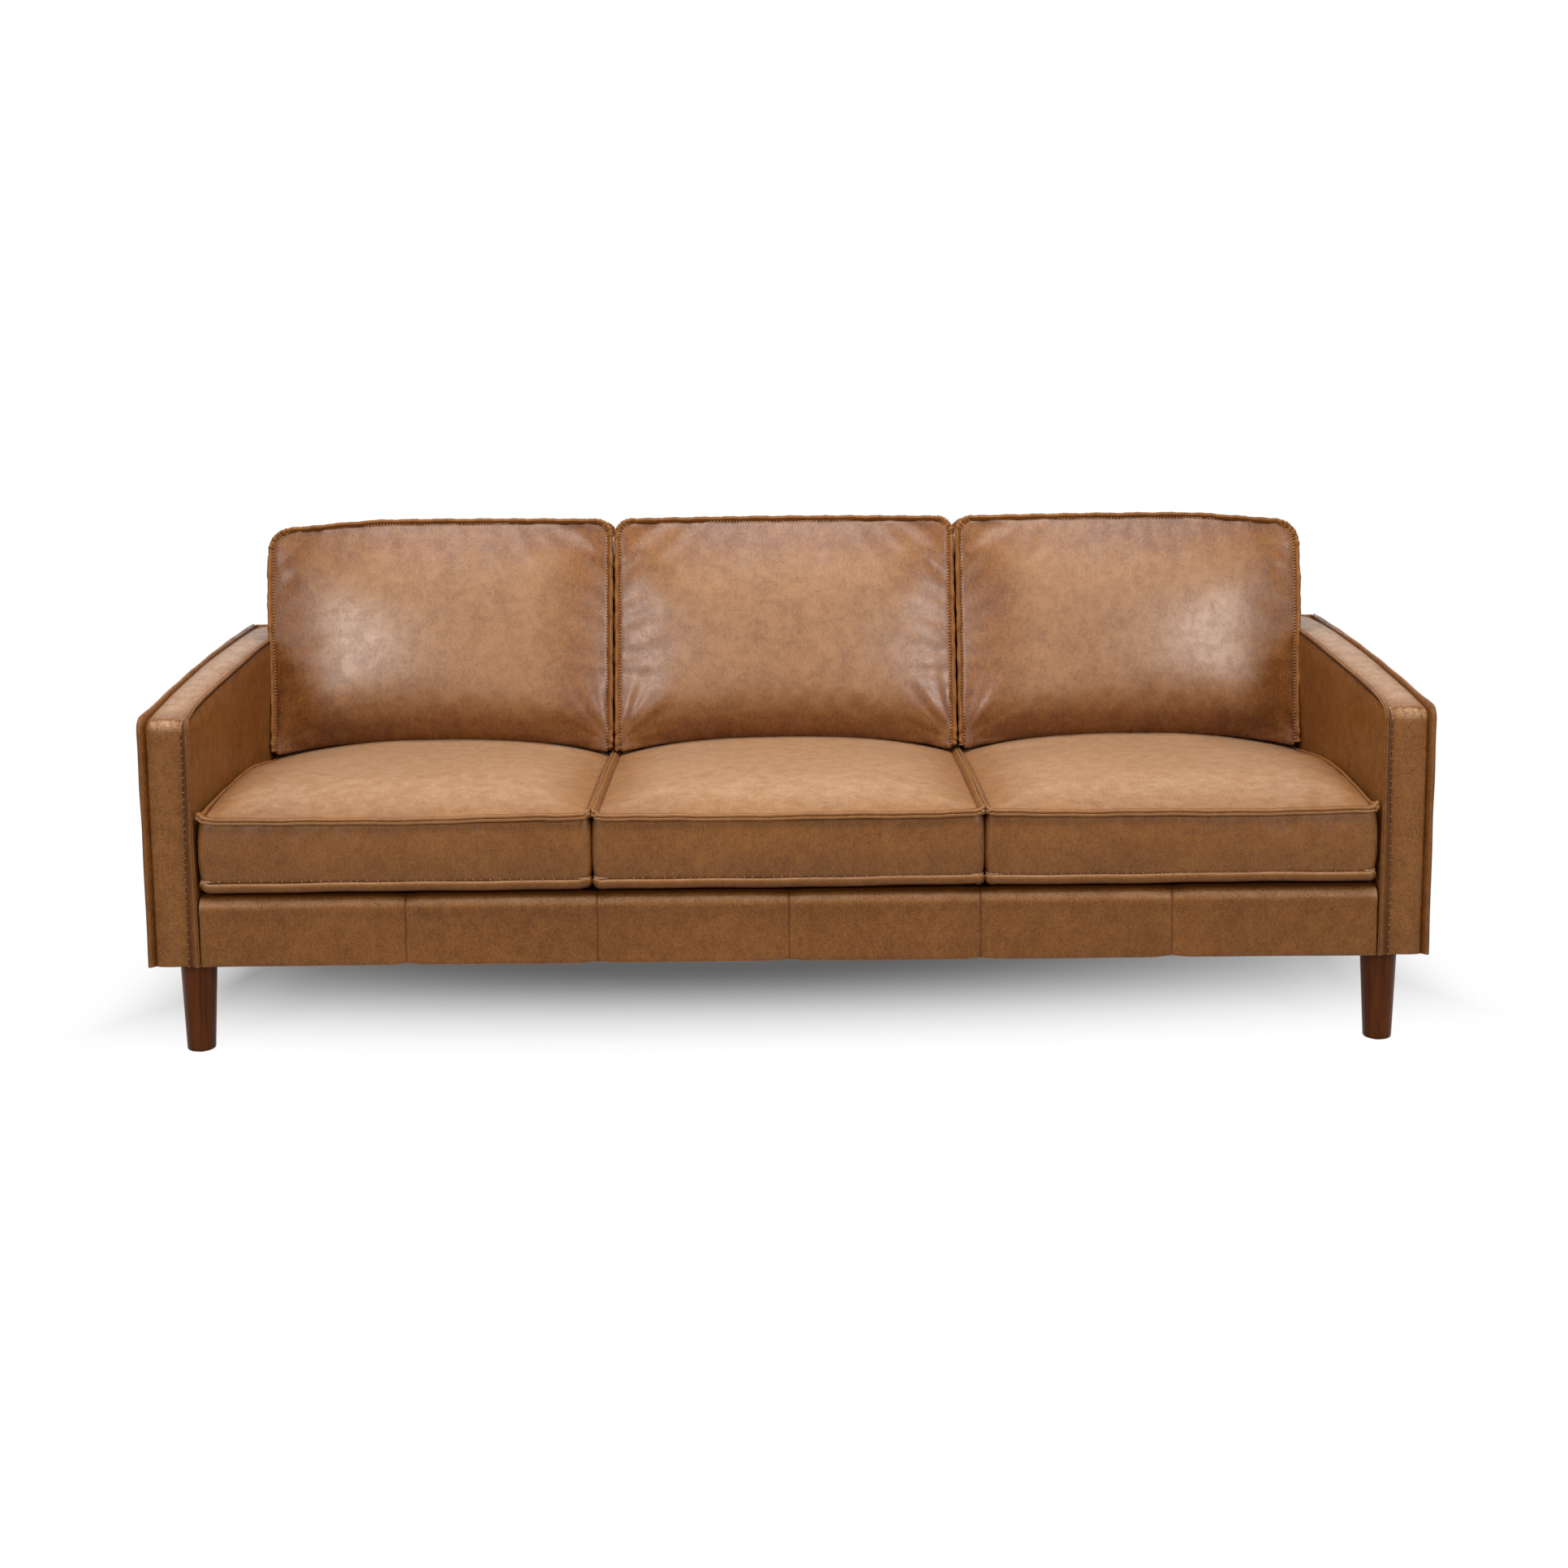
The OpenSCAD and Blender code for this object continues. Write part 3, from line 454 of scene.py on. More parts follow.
def boxLattice(na, nb, nc):
    # numbers the surface points of a box of cells, gives their unit coordinates, faces and side grids
    a, b, c = np.meshgrid(np.arange(na + 1), np.arange(nb + 1), np.arange(nc + 1), indexing="ij")
    skin = (a == 0) | (a == na) | (b == 0) | (b == nb) | (c == 0) | (c == nc)
    ids = np.full(skin.shape, -1)
    ids[skin] = np.arange(skin.sum())
    unitCoords = np.stack([a[skin] / na, b[skin] / nb, c[skin] / nc], 1)
    faces = []
    for sheet, flip in ((ids[0], True), (ids[-1], False), (ids[:, 0], False), (ids[:, -1], True),
                        (ids[:, :, 0], True), (ids[:, :, -1], False)):
        quads = np.stack([sheet[:-1, :-1], sheet[1:, :-1], sheet[1:, 1:], sheet[:-1, 1:]], -1).reshape(-1, 4)
        faces.append(quads[:, ::-1] if flip else quads)
    return ids, unitCoords, np.concatenate(faces)


def vertexNormals(points, faces):
    # at each point, the sum of its quads' crossed diagonals
    corner = points[faces]
    normal = np.cross(corner[:, 2] - corner[:, 0], corner[:, 3] - corner[:, 1])
    total = np.zeros_like(points)
    for k in range(4):
        np.add.at(total, faces[:, k], normal)
    return unit(total)


clothFrames = 18  # enough for the cover to come to rest


def inflate(piece, pinned, pressure, slack, cap):
    # blows the cover up as cloth between its pinned seams, with spare leather, and caps how far a point moves
    before = readVectors(piece.data.vertices, "co")
    group = piece.vertex_groups.new(name="pins")
    for weight in np.unique(pinned[pinned > 0]):
        group.add(np.nonzero(pinned == weight)[0].tolist(), float(weight), "REPLACE")
    cloth = piece.modifiers.new("leatherCover", "CLOTH")
    settings = cloth.settings
    settings.quality = 5
    settings.mass = 0.35
    settings.tension_stiffness = 30
    settings.compression_stiffness = 20
    settings.shear_stiffness = 12
    settings.bending_stiffness = 6.0
    settings.air_damping = 3
    settings.use_pressure = True
    settings.uniform_pressure_force = pressure
    settings.shrink_min = -slack
    settings.vertex_group_mass = "pins"
    settings.pin_stiffness = 1.0
    settings.effector_weights.gravity = 0
    cloth.collision_settings.use_collision = False
    scene = bpy.context.scene
    for step in range(1, clothFrames + 1):
        scene.frame_set(step)
    shown = piece.evaluated_get(bpy.context.evaluated_depsgraph_get())
    after = readVectors(shown.data.vertices, "co")
    piece.modifiers.remove(cloth)
    piece.vertex_groups.remove(group)
    scene.frame_set(1)
    move = after - before
    size = np.linalg.norm(move, axis=1, keepdims=True)
    move *= np.minimum(1.0, cap / np.maximum(size, 1e-9))
    print("sofa:", piece.name, "cover moved by", round(float(size.max()) * 1000, 1), "mm at most, top at",
          round(float((before + move)[:, 2].max()), 4))
    return before + move


def dress(piece, body, slotName, *nodes):
    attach(piece, body)
    if nodes:
        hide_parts(*nodes)
    return piece


def makeDetail(name, parts, material, body):
    points, faces, wear = joinParts(parts)
    piece = makePiece(name, points, faces, material)
    setValues(piece, "wear", wear)
    return dress(piece, body, "leather")


lipRoots = dict(single=-0.003, double=-0.004)  # how far a lip starts inside the leather


def roundedLip(out, thick):
    # one folded edge: straight sides and a half-round tip
    turn = np.linspace(-math.pi / 2, math.pi / 2, 9)
    tip = np.stack([out - thick / 2 + thick / 2 * np.cos(turn), thick / 2 * np.sin(turn)], 1)
    root = lipRoots["single"]
    return np.concatenate([[[root, -thick / 2]], tip, [[root, thick / 2]]])


def doubleLip(out, thick, groove):
    # two folded edges side by side with a groove between
    turn = np.linspace(-math.pi / 2, math.pi / 2, 7)
    radius = thick / 4
    low = np.stack([out - radius + radius * np.cos(turn), -radius + radius * np.sin(turn)], 1)
    high = low + [0, 2 * radius]
    root = lipRoots["double"]
    return np.concatenate([[[root, -thick / 2]], low, [[out - groove, 0]], high, [[root, thick / 2]]])


# value across a double lip's profile: painted shade at its two roots and in the groove between the folds
doubleLipToneAndShade = np.array([-0.3] + 7 * [0.58] + [-1.2] + 7 * [0.58] + [-0.3])


def gathers(along, away, seed, pitch=0.016, reach=0.011, depth=0.0006):
    # small pleats that start at a seam and die away: uneven waves along it, falling off across it
    phase = 2 * math.pi * along / pitch
    wave = np.sin(phase + 1.3 * np.sin(phase * 0.31 + seed)) + 0.6 * np.sin(phase * 1.83 + 2 * seed)
    strength = 0.55 + 0.45 * np.sin(phase * 0.17 + 3 * seed)
    return depth * wave * strength * np.exp(-np.maximum(away, 0) / reach)


def refine(piece, **values):
    # makes one smoothing pass real and gives the finer points, their normals and the named values on them
    for key, numbers in values.items():
        setValues(piece, key, numbers)
    modifier = piece.modifiers.new("fineLeather", "SUBSURF")
    modifier.levels = 1
    modifier.render_levels = 1
    shown = piece.evaluated_get(bpy.context.evaluated_depsgraph_get())
    fine = bpy.data.meshes.new_from_object(shown)
    piece.modifiers.remove(modifier)
    piece.data = fine
    points = readVectors(fine.vertices, "co").astype(float)
    normals = readVectors(fine.vertices, "normal").astype(float)
    found = {}
    for key in values:
        numbers = np.empty(len(points), np.float32)
        fine.attributes[key].data.foreach_get("value", numbers)
        fine.attributes.remove(fine.attributes[key])
        found[key] = numbers.astype(float)
    return points, normals, found


# arms

arm = dict(frontHeight=0.583, cornerRadius=0.024, seam=0.007, bulge=0.005, sideBulge=0.005,
           outerSeam=0.0082, innerSeam=0.0095, footFlare=0.001, footFlareHeight=0.05,
           footOut=0.003, topOut=0.009, innerTopOut=0.009, footLip=0.008,
           lipOut=0.0125, lipGroove=0.0026, lipDepth=0.0085)
armCounts = (120, 36, 230)
armEndY = float(armHigh[1])
armFrontY = float(armLow[1])
armTopZ = float(armHigh[2])
armBottomZ = float(armLow[2])
armFall = (armTopZ - arm["frontHeight"]) / (armEndY - armFrontY) ** 2
rearLean = (outerHigh[1] - outerLow[1] - 0.002) / (outerHigh[2] - outerLow[2])


def armTopAt(y):
    # a parabola that falls away in front of the rear corner
    return armTopZ - (armEndY - y) ** 2 * armFall


def rearAt(z):
    # outside face of the back at a height
    return outerHigh[1] - (outerHigh[2] - z) * rearLean


def armPath(counts):
    # side outline from the foot of the front edge, round the corner and along the top, as (y, z)
    radius = arm["cornerRadius"]
    cornerY = armFrontY + radius
    cornerZ = armTopAt(cornerY) - radius
    rise = np.linspace(armBottomZ, cornerZ, counts[0], endpoint=False)
    front = np.stack([np.full_like(rise, armFrontY), rise], 1)
    turn = np.linspace(0, math.pi / 2, counts[1], endpoint=False)
    corner = np.stack([cornerY - radius * np.cos(turn), cornerZ + radius * np.sin(turn)], 1)
    run = np.linspace(cornerY, armEndY, counts[2])
    top = np.stack([run, armTopAt(run)], 1)
    return np.concatenate([front, corner, top])


def armSplay(x, y, z):
    # the arm leans out a little as it rises; its inner edge draws in only near the front
    up = np.clip((z - armBottomZ) / (arm["frontHeight"] - armBottomZ), 0, 1)
    outerShift = arm["footOut"] + (arm["topOut"] - arm["footOut"]) * up
    innerShift = arm["innerTopOut"] * up * (1 - smoothStep((y - armFrontY) / 0.45))
    share = (x - armInside) / (armHigh[0] - armInside)
    return x + innerShift + (outerShift - innerShift) * share


def makeArm(side, name):
    # a boxing strip carried along the arm's outline, lips on its two seams, and two domed side panels
    outline = armPath(armCounts)
    tangent = pathTangents(outline)
    normal = np.stack([-tangent[:, 1], tangent[:, 0]], 1)
    xOut, xIn = float(armHigh[0]), armInside
    n = len(outline)
    travel = lengthsAlong(outline)
    cornerStop = travel[armCounts[0] + 3 * armCounts[1] // 4]
    onTop = smoothStep((travel - cornerStop) / 0.06)
    # boxing: from the inner seam across to the outer seam, puffed up between deep valleys and pleated
    edges = xIn + arm["innerSeam"], xOut - arm["outerSeam"]
    width = edges[1] - edges[0]
    reach = np.concatenate([[xIn + 0.0006, xIn + 0.004], np.linspace(edges[0], edges[1], 37),
                            [xOut - 0.005, xOut - 0.0014]])
    across = np.clip((reach - edges[0]) / width, 0, 1)
    away = width * np.minimum(across, 1 - across)
    puff = arm["bulge"] * (1 - np.abs(2 * across - 1) ** 2.6)
    valley = (0.0038 + 0.0017 * (across > 0.5)) * np.exp(-(away / 0.0032) ** 2)
    footward = 1 - smoothStep((outline[:, 1] - armBottomZ) / (arm["frontHeight"] - armBottomZ))
    joint = 0.0032 * np.exp(-((travel - cornerStop) / 0.0022) ** 2)
    below = np.clip((cornerStop - travel) / 0.03, 0, 4)
    pucker = 0.0022 * (np.exp(-below ** 2) * (travel < cornerStop))[:, None] * ripple(
        across[None] * 14, travel[:, None] * 30, 11 + side, 3, 1.6)
    sag = 0.0009 * ripple(travel[:, None] * 14, across[None] * 3, 21 + side, 4)
    pleats = gathers(travel[:, None] + 0.3 * across[None], away[None], 2 + side)
    depth = arm["seam"] + valley[None] - puff[None] + joint[:, None] + pucker + sag + pleats
    depth[:, (reach < edges[0] - 0.001) | (reach > edges[1] + 0.001)] = 0.0055
    flat = outline[:, None] - normal[:, None] * depth[..., None]
    lipShift = arm["footLip"] * footward
    drawn = reach[None] + lipShift[:, None] * (1 - across[None]) * (reach[None] > edges[0] - 0.001)
    xs = side * armSplay(drawn, flat[..., 0], flat[..., 1])
    boxing = np.stack([xs, flat[..., 0], flat[..., 1]], -1)
    middle = 1 - np.abs(2 * across - 1) ** 2
    # colour value on the boxing: paler along the top run, partly wear and partly painted light from above,
    # and painted shade in the valleys beside the seams
    wearBox = 0.44 + (0.08 + 0.34 * onTop)[:, None] * middle[None]
    wearBox = wearBox - 0.22 * np.exp(-(away / 0.0035) ** 2)[None]
    # a painted highlight band just below the front corner's joining seam
    paintedHighlight = np.exp(-((cornerStop - 0.013 - travel) / 0.014) ** 2)
    wearBox = wearBox + 0.40 * paintedHighlight[:, None] * middle[None]
    # the row turned under the foot takes a darker value, painted shade
    under = boxing[:1] + np.array([0, 0.012, 0.0006])
    parts = [(np.concatenate([under, boxing]), gridFaces(n + 1, len(across), flip=side < 0),
              np.concatenate([wearBox[:1] * 0.6, wearBox]))]
    # flanges: flat folded lips that lie outwards up the front and stand up more along the top
    level = np.stack([0 * travel, normal[:, 0], normal[:, 1]], 1)
    topShare = np.clip((travel - cornerStop) / (travel[-1] - cornerStop), 0, 1)
    for x, sideways, seed, thick, lip, stand in (
            (edges[1], side, 1.0, 0.0060, 0 * travel, 0.0),
            (edges[0], -side, 2.0, 0.0066, lipShift, 0.0025)):
        sway = 0.07 * np.sin(travel * 17 + seed) + 0.03 * np.sin(travel * 61 + 2 * seed)
        lean = 0.85 - 0.35 * onTop + 60 * lip + sway
        line = outline - normal * (arm["lipDepth"] - stand * onTop)[:, None]
        path = np.stack([side * armSplay(x + lip, line[:, 0], line[:, 1]), line[:, 0], line[:, 1]], 1)
        out = level + np.array([sideways, 0, 0]) * lean[:, None]
        hollow = 0.12 + 0.26 * np.sin(math.pi * topShare)
        wave = 1 - hollow * onTop * (stand == 0) + 0.03 * np.sin(travel * 43 + seed)
        wave = wave + 0.9 * lip / arm["lipOut"]
        points, faces = sweepStrip(path, out, doubleLip(arm["lipOut"], thick, arm["lipGroove"]), wave=wave)
        # the lips pale along the top run, partly wear and partly painted light from above, with painted shade
        # at their roots and in their groove
        lipWearAndPaintedLight = (0.30 + 0.32 * onTop)[:, None] + (doubleLipToneAndShade - doubleLipToneAndShade.max())[None]
        parts.append((points, faces, lipWearAndPaintedLight))
    boxPiece = makeDetail(name + "ArmBoxing", parts, leathers["arm"], "frame")
    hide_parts(name + "_arm_boxing", name + "_arm_padding")
    # stitches run beside the inner lip on the boxing
    row = 2 + int(0.0042 / width * 36 + 0.5)
    stitches, stitchFaces = stitchRow(boxing[:, row] + level * 0.0005, level)
    thread = makePiece(name + "ArmStitches", stitches, stitchFaces, threadMaterial)
    dress(thread, "frame", "leather")
    # side panels: a grid under the outline, closer together near the front edge
    for face, x, bulge, node in (("Outside", xOut, arm["sideBulge"], "outside"),
                                 ("Inside", xIn, -0.0006, "inside")):
        s = np.linspace(0, 1, 70) ** 1.6
        t = np.linspace(0, 1, 60)
        y = armFrontY + 0.004 + (armEndY - 0.003 - armFrontY) * s
        radius = arm["cornerRadius"]
        bend = armFrontY + radius  # where the front corner's arc ends
        arc = np.sqrt(np.maximum(radius ** 2 - (bend - y) ** 2, 0))
        roof = np.where(y < bend, armTopAt(bend) - radius + arc, armTopAt(y)) - 0.005
        z = armBottomZ + (roof[:, None] - armBottomZ) * t[None]
        inward = 1 if face == "Outside" else -1
        lean = (rearAt(z) - rearAt(armTopZ)) * s[:, None] ** 2
        yy = y[:, None] + lean
        dome = (1 - np.abs(2 * s - 1) ** 8)[:, None] * (1 - np.abs(2 * t - 1) ** 6)[None]
        edge = np.exp(-((1 - t) / 0.02) ** 2)[None] + np.exp(-(s / 0.01) ** 2)[:, None]
        xx = x - 0.005 * (face == "Outside") + bulge * dome - 0.002 * inward * edge
        xx = xx + 0.0006 * ripple(yy * 16, z * 12, 5 + side, 4) * (face == "Outside")
        if face == "Outside":
            xx = xx + arm["footFlare"] * (1 - smoothStep((z - armBottomZ) / arm["footFlareHeight"])) ** 2
        xx = armSplay(xx, yy, z)
        points = np.stack([side * xx, yy, z], -1)
        # painted shade: the inside panels darken towards the back and the foot; their domed middles are a
        # little paler
        shaded = 0.06 + 0.46 * smoothStep(s / 0.7)[:, None] * (1 - 0.75 * t)[None]
        wear = 0.30 + 0.14 * dome - (face == "Inside") * shaded
        flip = (side > 0) == (face == "Inside")
        hide = leathers["armInside" if face == "Inside" else "arm"]
        panel = makeDetail(name + "Arm" + face, [(points, gridFaces(70, 60, flip=flip), wear)], hide, "frame")
        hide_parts(name + "_arm_" + node + "_panel")


for side, name in ((-1, "left"), (1, "right")):
    makeArm(side, name)
print("sofa: arms made")


# front rail

rail = dict(radius=0.022, drop=0.006, panel=0.323, groove=0.0012, puff=0.0028)


def makeRail():
    # a face, a quarter round and a gentle rise carried across, puffed between grooves at the seams
    front, back = float(railLow[1]), float(railHigh[1])
    low, high = float(railLow[2]), float(railHigh[2])
    radius = rail["radius"]
    rise = np.linspace(low, high - rail["drop"] - radius, 40, endpoint=False)
    turn = np.linspace(0, math.pi / 2, 16, endpoint=False)
    run = np.linspace(front + radius, back, 10)
    shoulder = high - rail["drop"]
    profile = np.concatenate([
        [[front + 0.018, low + 0.002], [front + 0.006, low], [front + 0.0015, low + 0.001]],
        np.stack([np.full_like(rise, front), rise], 1)[1:],
        np.stack([front + radius - radius * np.cos(turn), shoulder - radius + radius * np.sin(turn)], 1),
        np.stack([run, shoulder + rail["drop"] * smoothStep((run - front - radius) / 0.02)], 1)])
    tangent = pathTangents(profile)
    normal = np.stack([-tangent[:, 1], tangent[:, 0]], 1)
    seams = np.array([-2, -1, 0, 1, 2]) * rail["panel"]
    x = np.unique(np.concatenate([np.linspace(-armInside, armInside, 260)]
                                 + [s + np.linspace(-0.006, 0.006, 13) for s in seams]))
    near = np.abs(x[:, None] - seams[None]).min(1)
    depth = rail["groove"] * np.exp(-(near / 0.0013) ** 2) - rail["puff"] * (1 - np.exp(-(near / 0.02) ** 2))
    edgeSwell = 0.003 * np.exp(-((profile[:, 1] - shoulder + 0.018) / 0.014) ** 2)
    edgeSwell = edgeSwell * (profile[:, 0] < front + radius)
    sag = 0.0006 * ripple(x[:, None] * 9, profile[None, :, 1] * 16, 31, 4)
    pleats = gathers(profile[None, :, 1], near[:, None], 5, 0.02, 0.008, 0.0004)
    depth = depth[:, None] - edgeSwell[None] + sag + pleats - 0.0006
    depth = depth * (1 - smoothStep((profile[:, 0] - front - radius) / 0.02))[None]
    flat = profile[None] - normal[None] * depth[..., None]
    points = joinAxes(x[:, None], flat[..., 0], flat[..., 1])
    # painted light on the cover: a painted highlight band along the rounded top edge, painted shadow over the
    # top behind that edge under the seat cushions' overhang, and painted shade in the seam grooves
    wear = 0.38 + 0.30 * np.exp(-((profile[:, 1] - shoulder + 0.012) / 0.008) ** 2)[None]
    wear = wear - 1.8 * smoothStep((profile[:, 0] - front - 0.006) / 0.006)[None]
    wear = wear - 0.9 * np.exp(-(near / 0.0014) ** 2)[:, None]
    piece = makeDetail("frontRailCover", [(points, gridFaces(len(x), len(profile)), wear)],
                       leathers["rail"], "frame")
    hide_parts("front_rail_cover", "front_edge_padding")


makeRail()
print("sofa: front rail made")


# seat cushions

seat = dict(inset=0.0040, seamZ=0.413, lowerSeamZ=0.303, crown=0.021, armLift=0.017, radius=0.011,
            bulge=0.006, footTuck=0.024, frontDip=0.004, lipOut=0.0122, lipThick=0.0112, lipGroove=0.0046,
            stitchOut=0.0022, stitchRise=0.0048, na=72, nb=76, nc=13)


def seatTopAt(u, b):
    # superellipse crown, square-shouldered in front and rounder under the back cushion: 1 - |u| ** n
    roundness = 6.5 - 3.5 * smoothStep((b - 0.45) / 0.3)
    rise = 1 - (1 - np.clip(b / 0.28, 0, 1)) ** 2.4
    sink = 0.003 * smoothStep((b - 0.5) / 0.25)
    return seat["seamZ"] - sink + seat["crown"] * (1 - np.abs(u) ** roundness) * rise


def perimeter(ids, axis, level):
    # closed loop of point numbers round one side of a lattice: front, right, back, left
    sheet = np.take(ids, level, axis=axis)
    return np.concatenate([sheet[:-1, 0], sheet[-1, :-1], sheet[:0:-1, -1], sheet[0, :0:-1]])


def makeSeatCushion(name, centre, seed):
    # a box of sewn panels with a crowned top and swelling sides, then blown up and pleated
    na, nb, nc = seat["na"], seat["nb"], seat["nc"]
    ids, coords, faces = boxLattice(na, nb, nc)
    a, b, c = coords.T
    u = 2 * a - 1
    half = seatPitch / 2 - 0.0006 - seat["inset"]
    front, rear = float(seatLow[1]) + 0.009, float(seatHigh[1])
    base = float(seatLow[2])
    # heights: bottom face, a short strip up to the lower seam, boxing up to the top seam
    lowStep = 1 / nc
    rise = np.clip((c - lowStep) / (1 - lowStep), 0, 1)
    armSide = {"left": -1, "middle": 0, "right": 1}[name]
    lift = np.sin(math.pi * np.clip((b - 0.01) / 0.78, 0, 1)) ** 0.8 * smoothStep((armSide * u - 0.75) / 0.25)
    roof = seatTopAt(u, b) + seat["armLift"] * lift
    wall = np.where(c <= lowStep, base + (seat["lowerSeamZ"] - base) * c / lowStep,
                    seat["lowerSeamZ"] + (roof - seat["lowerSeamZ"]) * rise)
    dip = -seat["frontDip"] * np.cos(u * math.pi / 2) * (1 - smoothStep(b / 0.1)) * c
    tuck = seat["footTuck"] * np.where(c < lowStep, 1 - c / lowStep, 0)
    x = u * (half - tuck * np.abs(u))
    y = front + tuck + (rear - front - tuck) * b
    # round the upright corners in plan
    radius = seat["radius"]
    cornerX = np.clip((np.abs(x) - (half - radius)) / radius, 0, 1)
    cornerY = np.clip((front + radius - y) / radius, 0, 1)
    shareX = cornerX * np.sqrt(1 - cornerY ** 2 / 2)
    shareY = cornerY * np.sqrt(1 - cornerX ** 2 / 2)
    x = np.where((cornerX > 0) & (cornerY > 0), np.sign(x) * (half - radius + radius * shareX), x)
    y = np.where((cornerX > 0) & (cornerY > 0), front + radius - radius * shareY, y)
    # the boxing swells between its two seams
    swell = seat["bulge"] * np.sin(rise * math.pi) ** 0.7
    y = y - swell * (b == 0) + 0.4 * swell * (b == 1)
    x = x + np.sign(u) * swell * (np.abs(u) == 1)
    points = np.stack([centre + x, y, wall + dip], 1)
    piece = makePiece(name + "SeatCushion", points, faces, leathers["seat"])
    pins = np.zeros(len(points))
    pins[c == 0] = 1
    topSeam = perimeter(ids, 2, nc)
    lowSeam = perimeter(ids, 2, 1)
    pins[topSeam] = 1
    pins[lowSeam] = 1
    points = inflate(piece, pins, 3.0, 0.003, 0.012)
    writePoints(piece, points)
    normals = vertexNormals(points, faces)
    # distances from the nearest seam, for the pleats and for the colour value: the top pales towards its
    # middle, partly wear and partly painted light on the lit top
    onTop, onSide = c == 1, np.abs(u) == 1
    sideGap, frontGap = (1 - np.abs(u)) * half, np.minimum(b, 1 - b) * (rear - front)
    drop = np.minimum(rise, 1 - rise) * (seat["seamZ"] - seat["lowerSeamZ"])
    away = np.where(onTop, np.minimum(sideGap, frontGap), drop)
    along = np.where(np.where(onTop, sideGap < frontGap, onSide), y, x)
    # colour value: the boxing pales a little towards its top as painted light; painted shade in the top
    # seam's valley and over the strip tucked under the lower seam
    wear = np.where(onTop, 0.66 + 0.34 * smoothStep(away / 0.14), 0.40 + 0.05 * rise)
    wear[topSeam] = -0.5
    wear[c < lowStep * 0.99] = -1.2
    fine, outward, found = refine(piece, away=away, along=along, wear=wear)
    fine = fine + outward * gathers(found["along"], found["away"], seed)[:, None]
    limit = seatPitch / 2 - 0.0008
    fine[:, 0] = centre + np.clip(fine[:, 0] - centre, -limit, limit)
    fine[:, 1] = np.minimum(fine[:, 1], rear)
    fine[:, 2] = np.maximum(fine[:, 2], base)
    writePoints(piece, fine)
    setValues(piece, "wear", found["wear"])
    dress(piece, name + "_seat_cushion", "leather", name + "_seat_cover", name + "_seat_core")
    addSeatSeams(name, points, normals, topSeam, lowSeam, centre, seed)


def earsAt(path, corners, reach):
    # 1 at the sewn corners, falling to 0 within a short way
    gap = np.linalg.norm(path[:, None, :2] - corners[None, :, :2], axis=2).min(1)
    return np.exp(-(gap / reach) ** 2)


def addSeatSeams(name, points, normals, topSeam, lowSeam, centre, seed):
    # a double lip round the top seam, a rolled hem round the low one and stitches above the hem
    parts = []
    quarter = [0, seat["na"], seat["na"] + seat["nb"], 2 * seat["na"] + seat["nb"]]
    limit = seatPitch / 2 - 0.0006
    # the hem: a soft roll that stands out at its top and curls back under, as (out, down)
    hem = np.array([(-0.0030, -0.0016), (0.0022, -0.0026), (0.0048, -0.0018), (0.0062, 0.0004),
                    (0.0064, 0.0034), (0.0056, 0.0070), (0.0036, 0.0106), (0.0008, 0.0134),
                    (-0.0030, 0.0150), (-0.0050, 0.0146)])
    # painted highlight along the top of the hem's roll and painted shade darkening down to its curled-under
    # edge
    hemLightAndShade = np.array([0.3, 0.72, 0.85, 0.62, 0.25, -0.05, -0.4, -0.9, -1.3, -1.3])
    armSide = {"left": -1, "middle": 0, "right": 1}[name]
    lip = doubleLip(seat["lipOut"], seat["lipThick"], seat["lipGroove"])
    for loop, profile, wear, flare in (
            (topSeam, lip, doubleLipToneAndShade, (0.10, 1.1)),
            (lowSeam, hem, hemLightAndShade, (0.0, 0.0))):
        path, length = resample(np.concatenate([points[loop], normals[loop]], 1), 520, closed=True)
        level = unit(path[:, 3:] * [1, 1, 0])
        tilt = flare[0] + (flare[1] - flare[0]) * level[:, :1] ** 2
        out = unit(level + tilt * [0, 0, 1])
        travel = np.linspace(0, length, 520, endpoint=False)
        turn = travel * 2 * math.pi / length
        shift = 0.0012 * np.sin(turn * 4 + seed) + 0.0007 * np.sin(turn * 13 + 2 * seed) \
            + 0.0004 * np.sin(turn * 41 + seed)
        ears = earsAt(path, points[loop][quarter], 0.010)
        line = path[:, :3] - out * 0.002 + np.array([0, 0, 1]) * (shift + 0.002 * ears)[:, None]
        squeezed = 0.65 * (level[:, 0] * armSide > 0.7) * (1 - ears)
        wave = 1 + 0.07 * np.sin(turn * 9 + seed) + 0.22 * ears - np.convolve(
            np.pad(squeezed, 6, "wrap"), np.full(13, 1 / 13), "valid")
        strip, stripFaces = sweepStrip(line, out, profile, closed=True, wave=wave)
        strip[..., 0] = centre + np.clip(strip[..., 0] - centre, -limit, limit)
        strip[..., 2] = np.maximum(strip[..., 2], seatLow[2] + 0.0003)
        parts.append((strip, stripFaces, np.broadcast_to(wear, strip.shape[:2])))
    makeDetail(name + "SeatFlanges", parts, leathers["edge"], name + "_seat_cushion")
    path, length = resample(np.concatenate([points[lowSeam], normals[lowSeam]], 1), 420, closed=True)
    level = unit(path[:, 3:] * [1, 1, 0])
    row = path[:, :3] + level * seat["stitchOut"] + [0, 0, seat["stitchRise"]]
    stitches, stitchFaces = stitchRow(row, level, closed=True)
    thread = makePiece(name + "SeatStitches", stitches, stitchFaces, threadMaterial)
    dress(thread, name + "_seat_cushion", "leather")


for number, name in enumerate(cushionBodies):
    makeSeatCushion(name, cushionCentres[name], 3 + number)
print("sofa: seat cushions made")


# back cushions

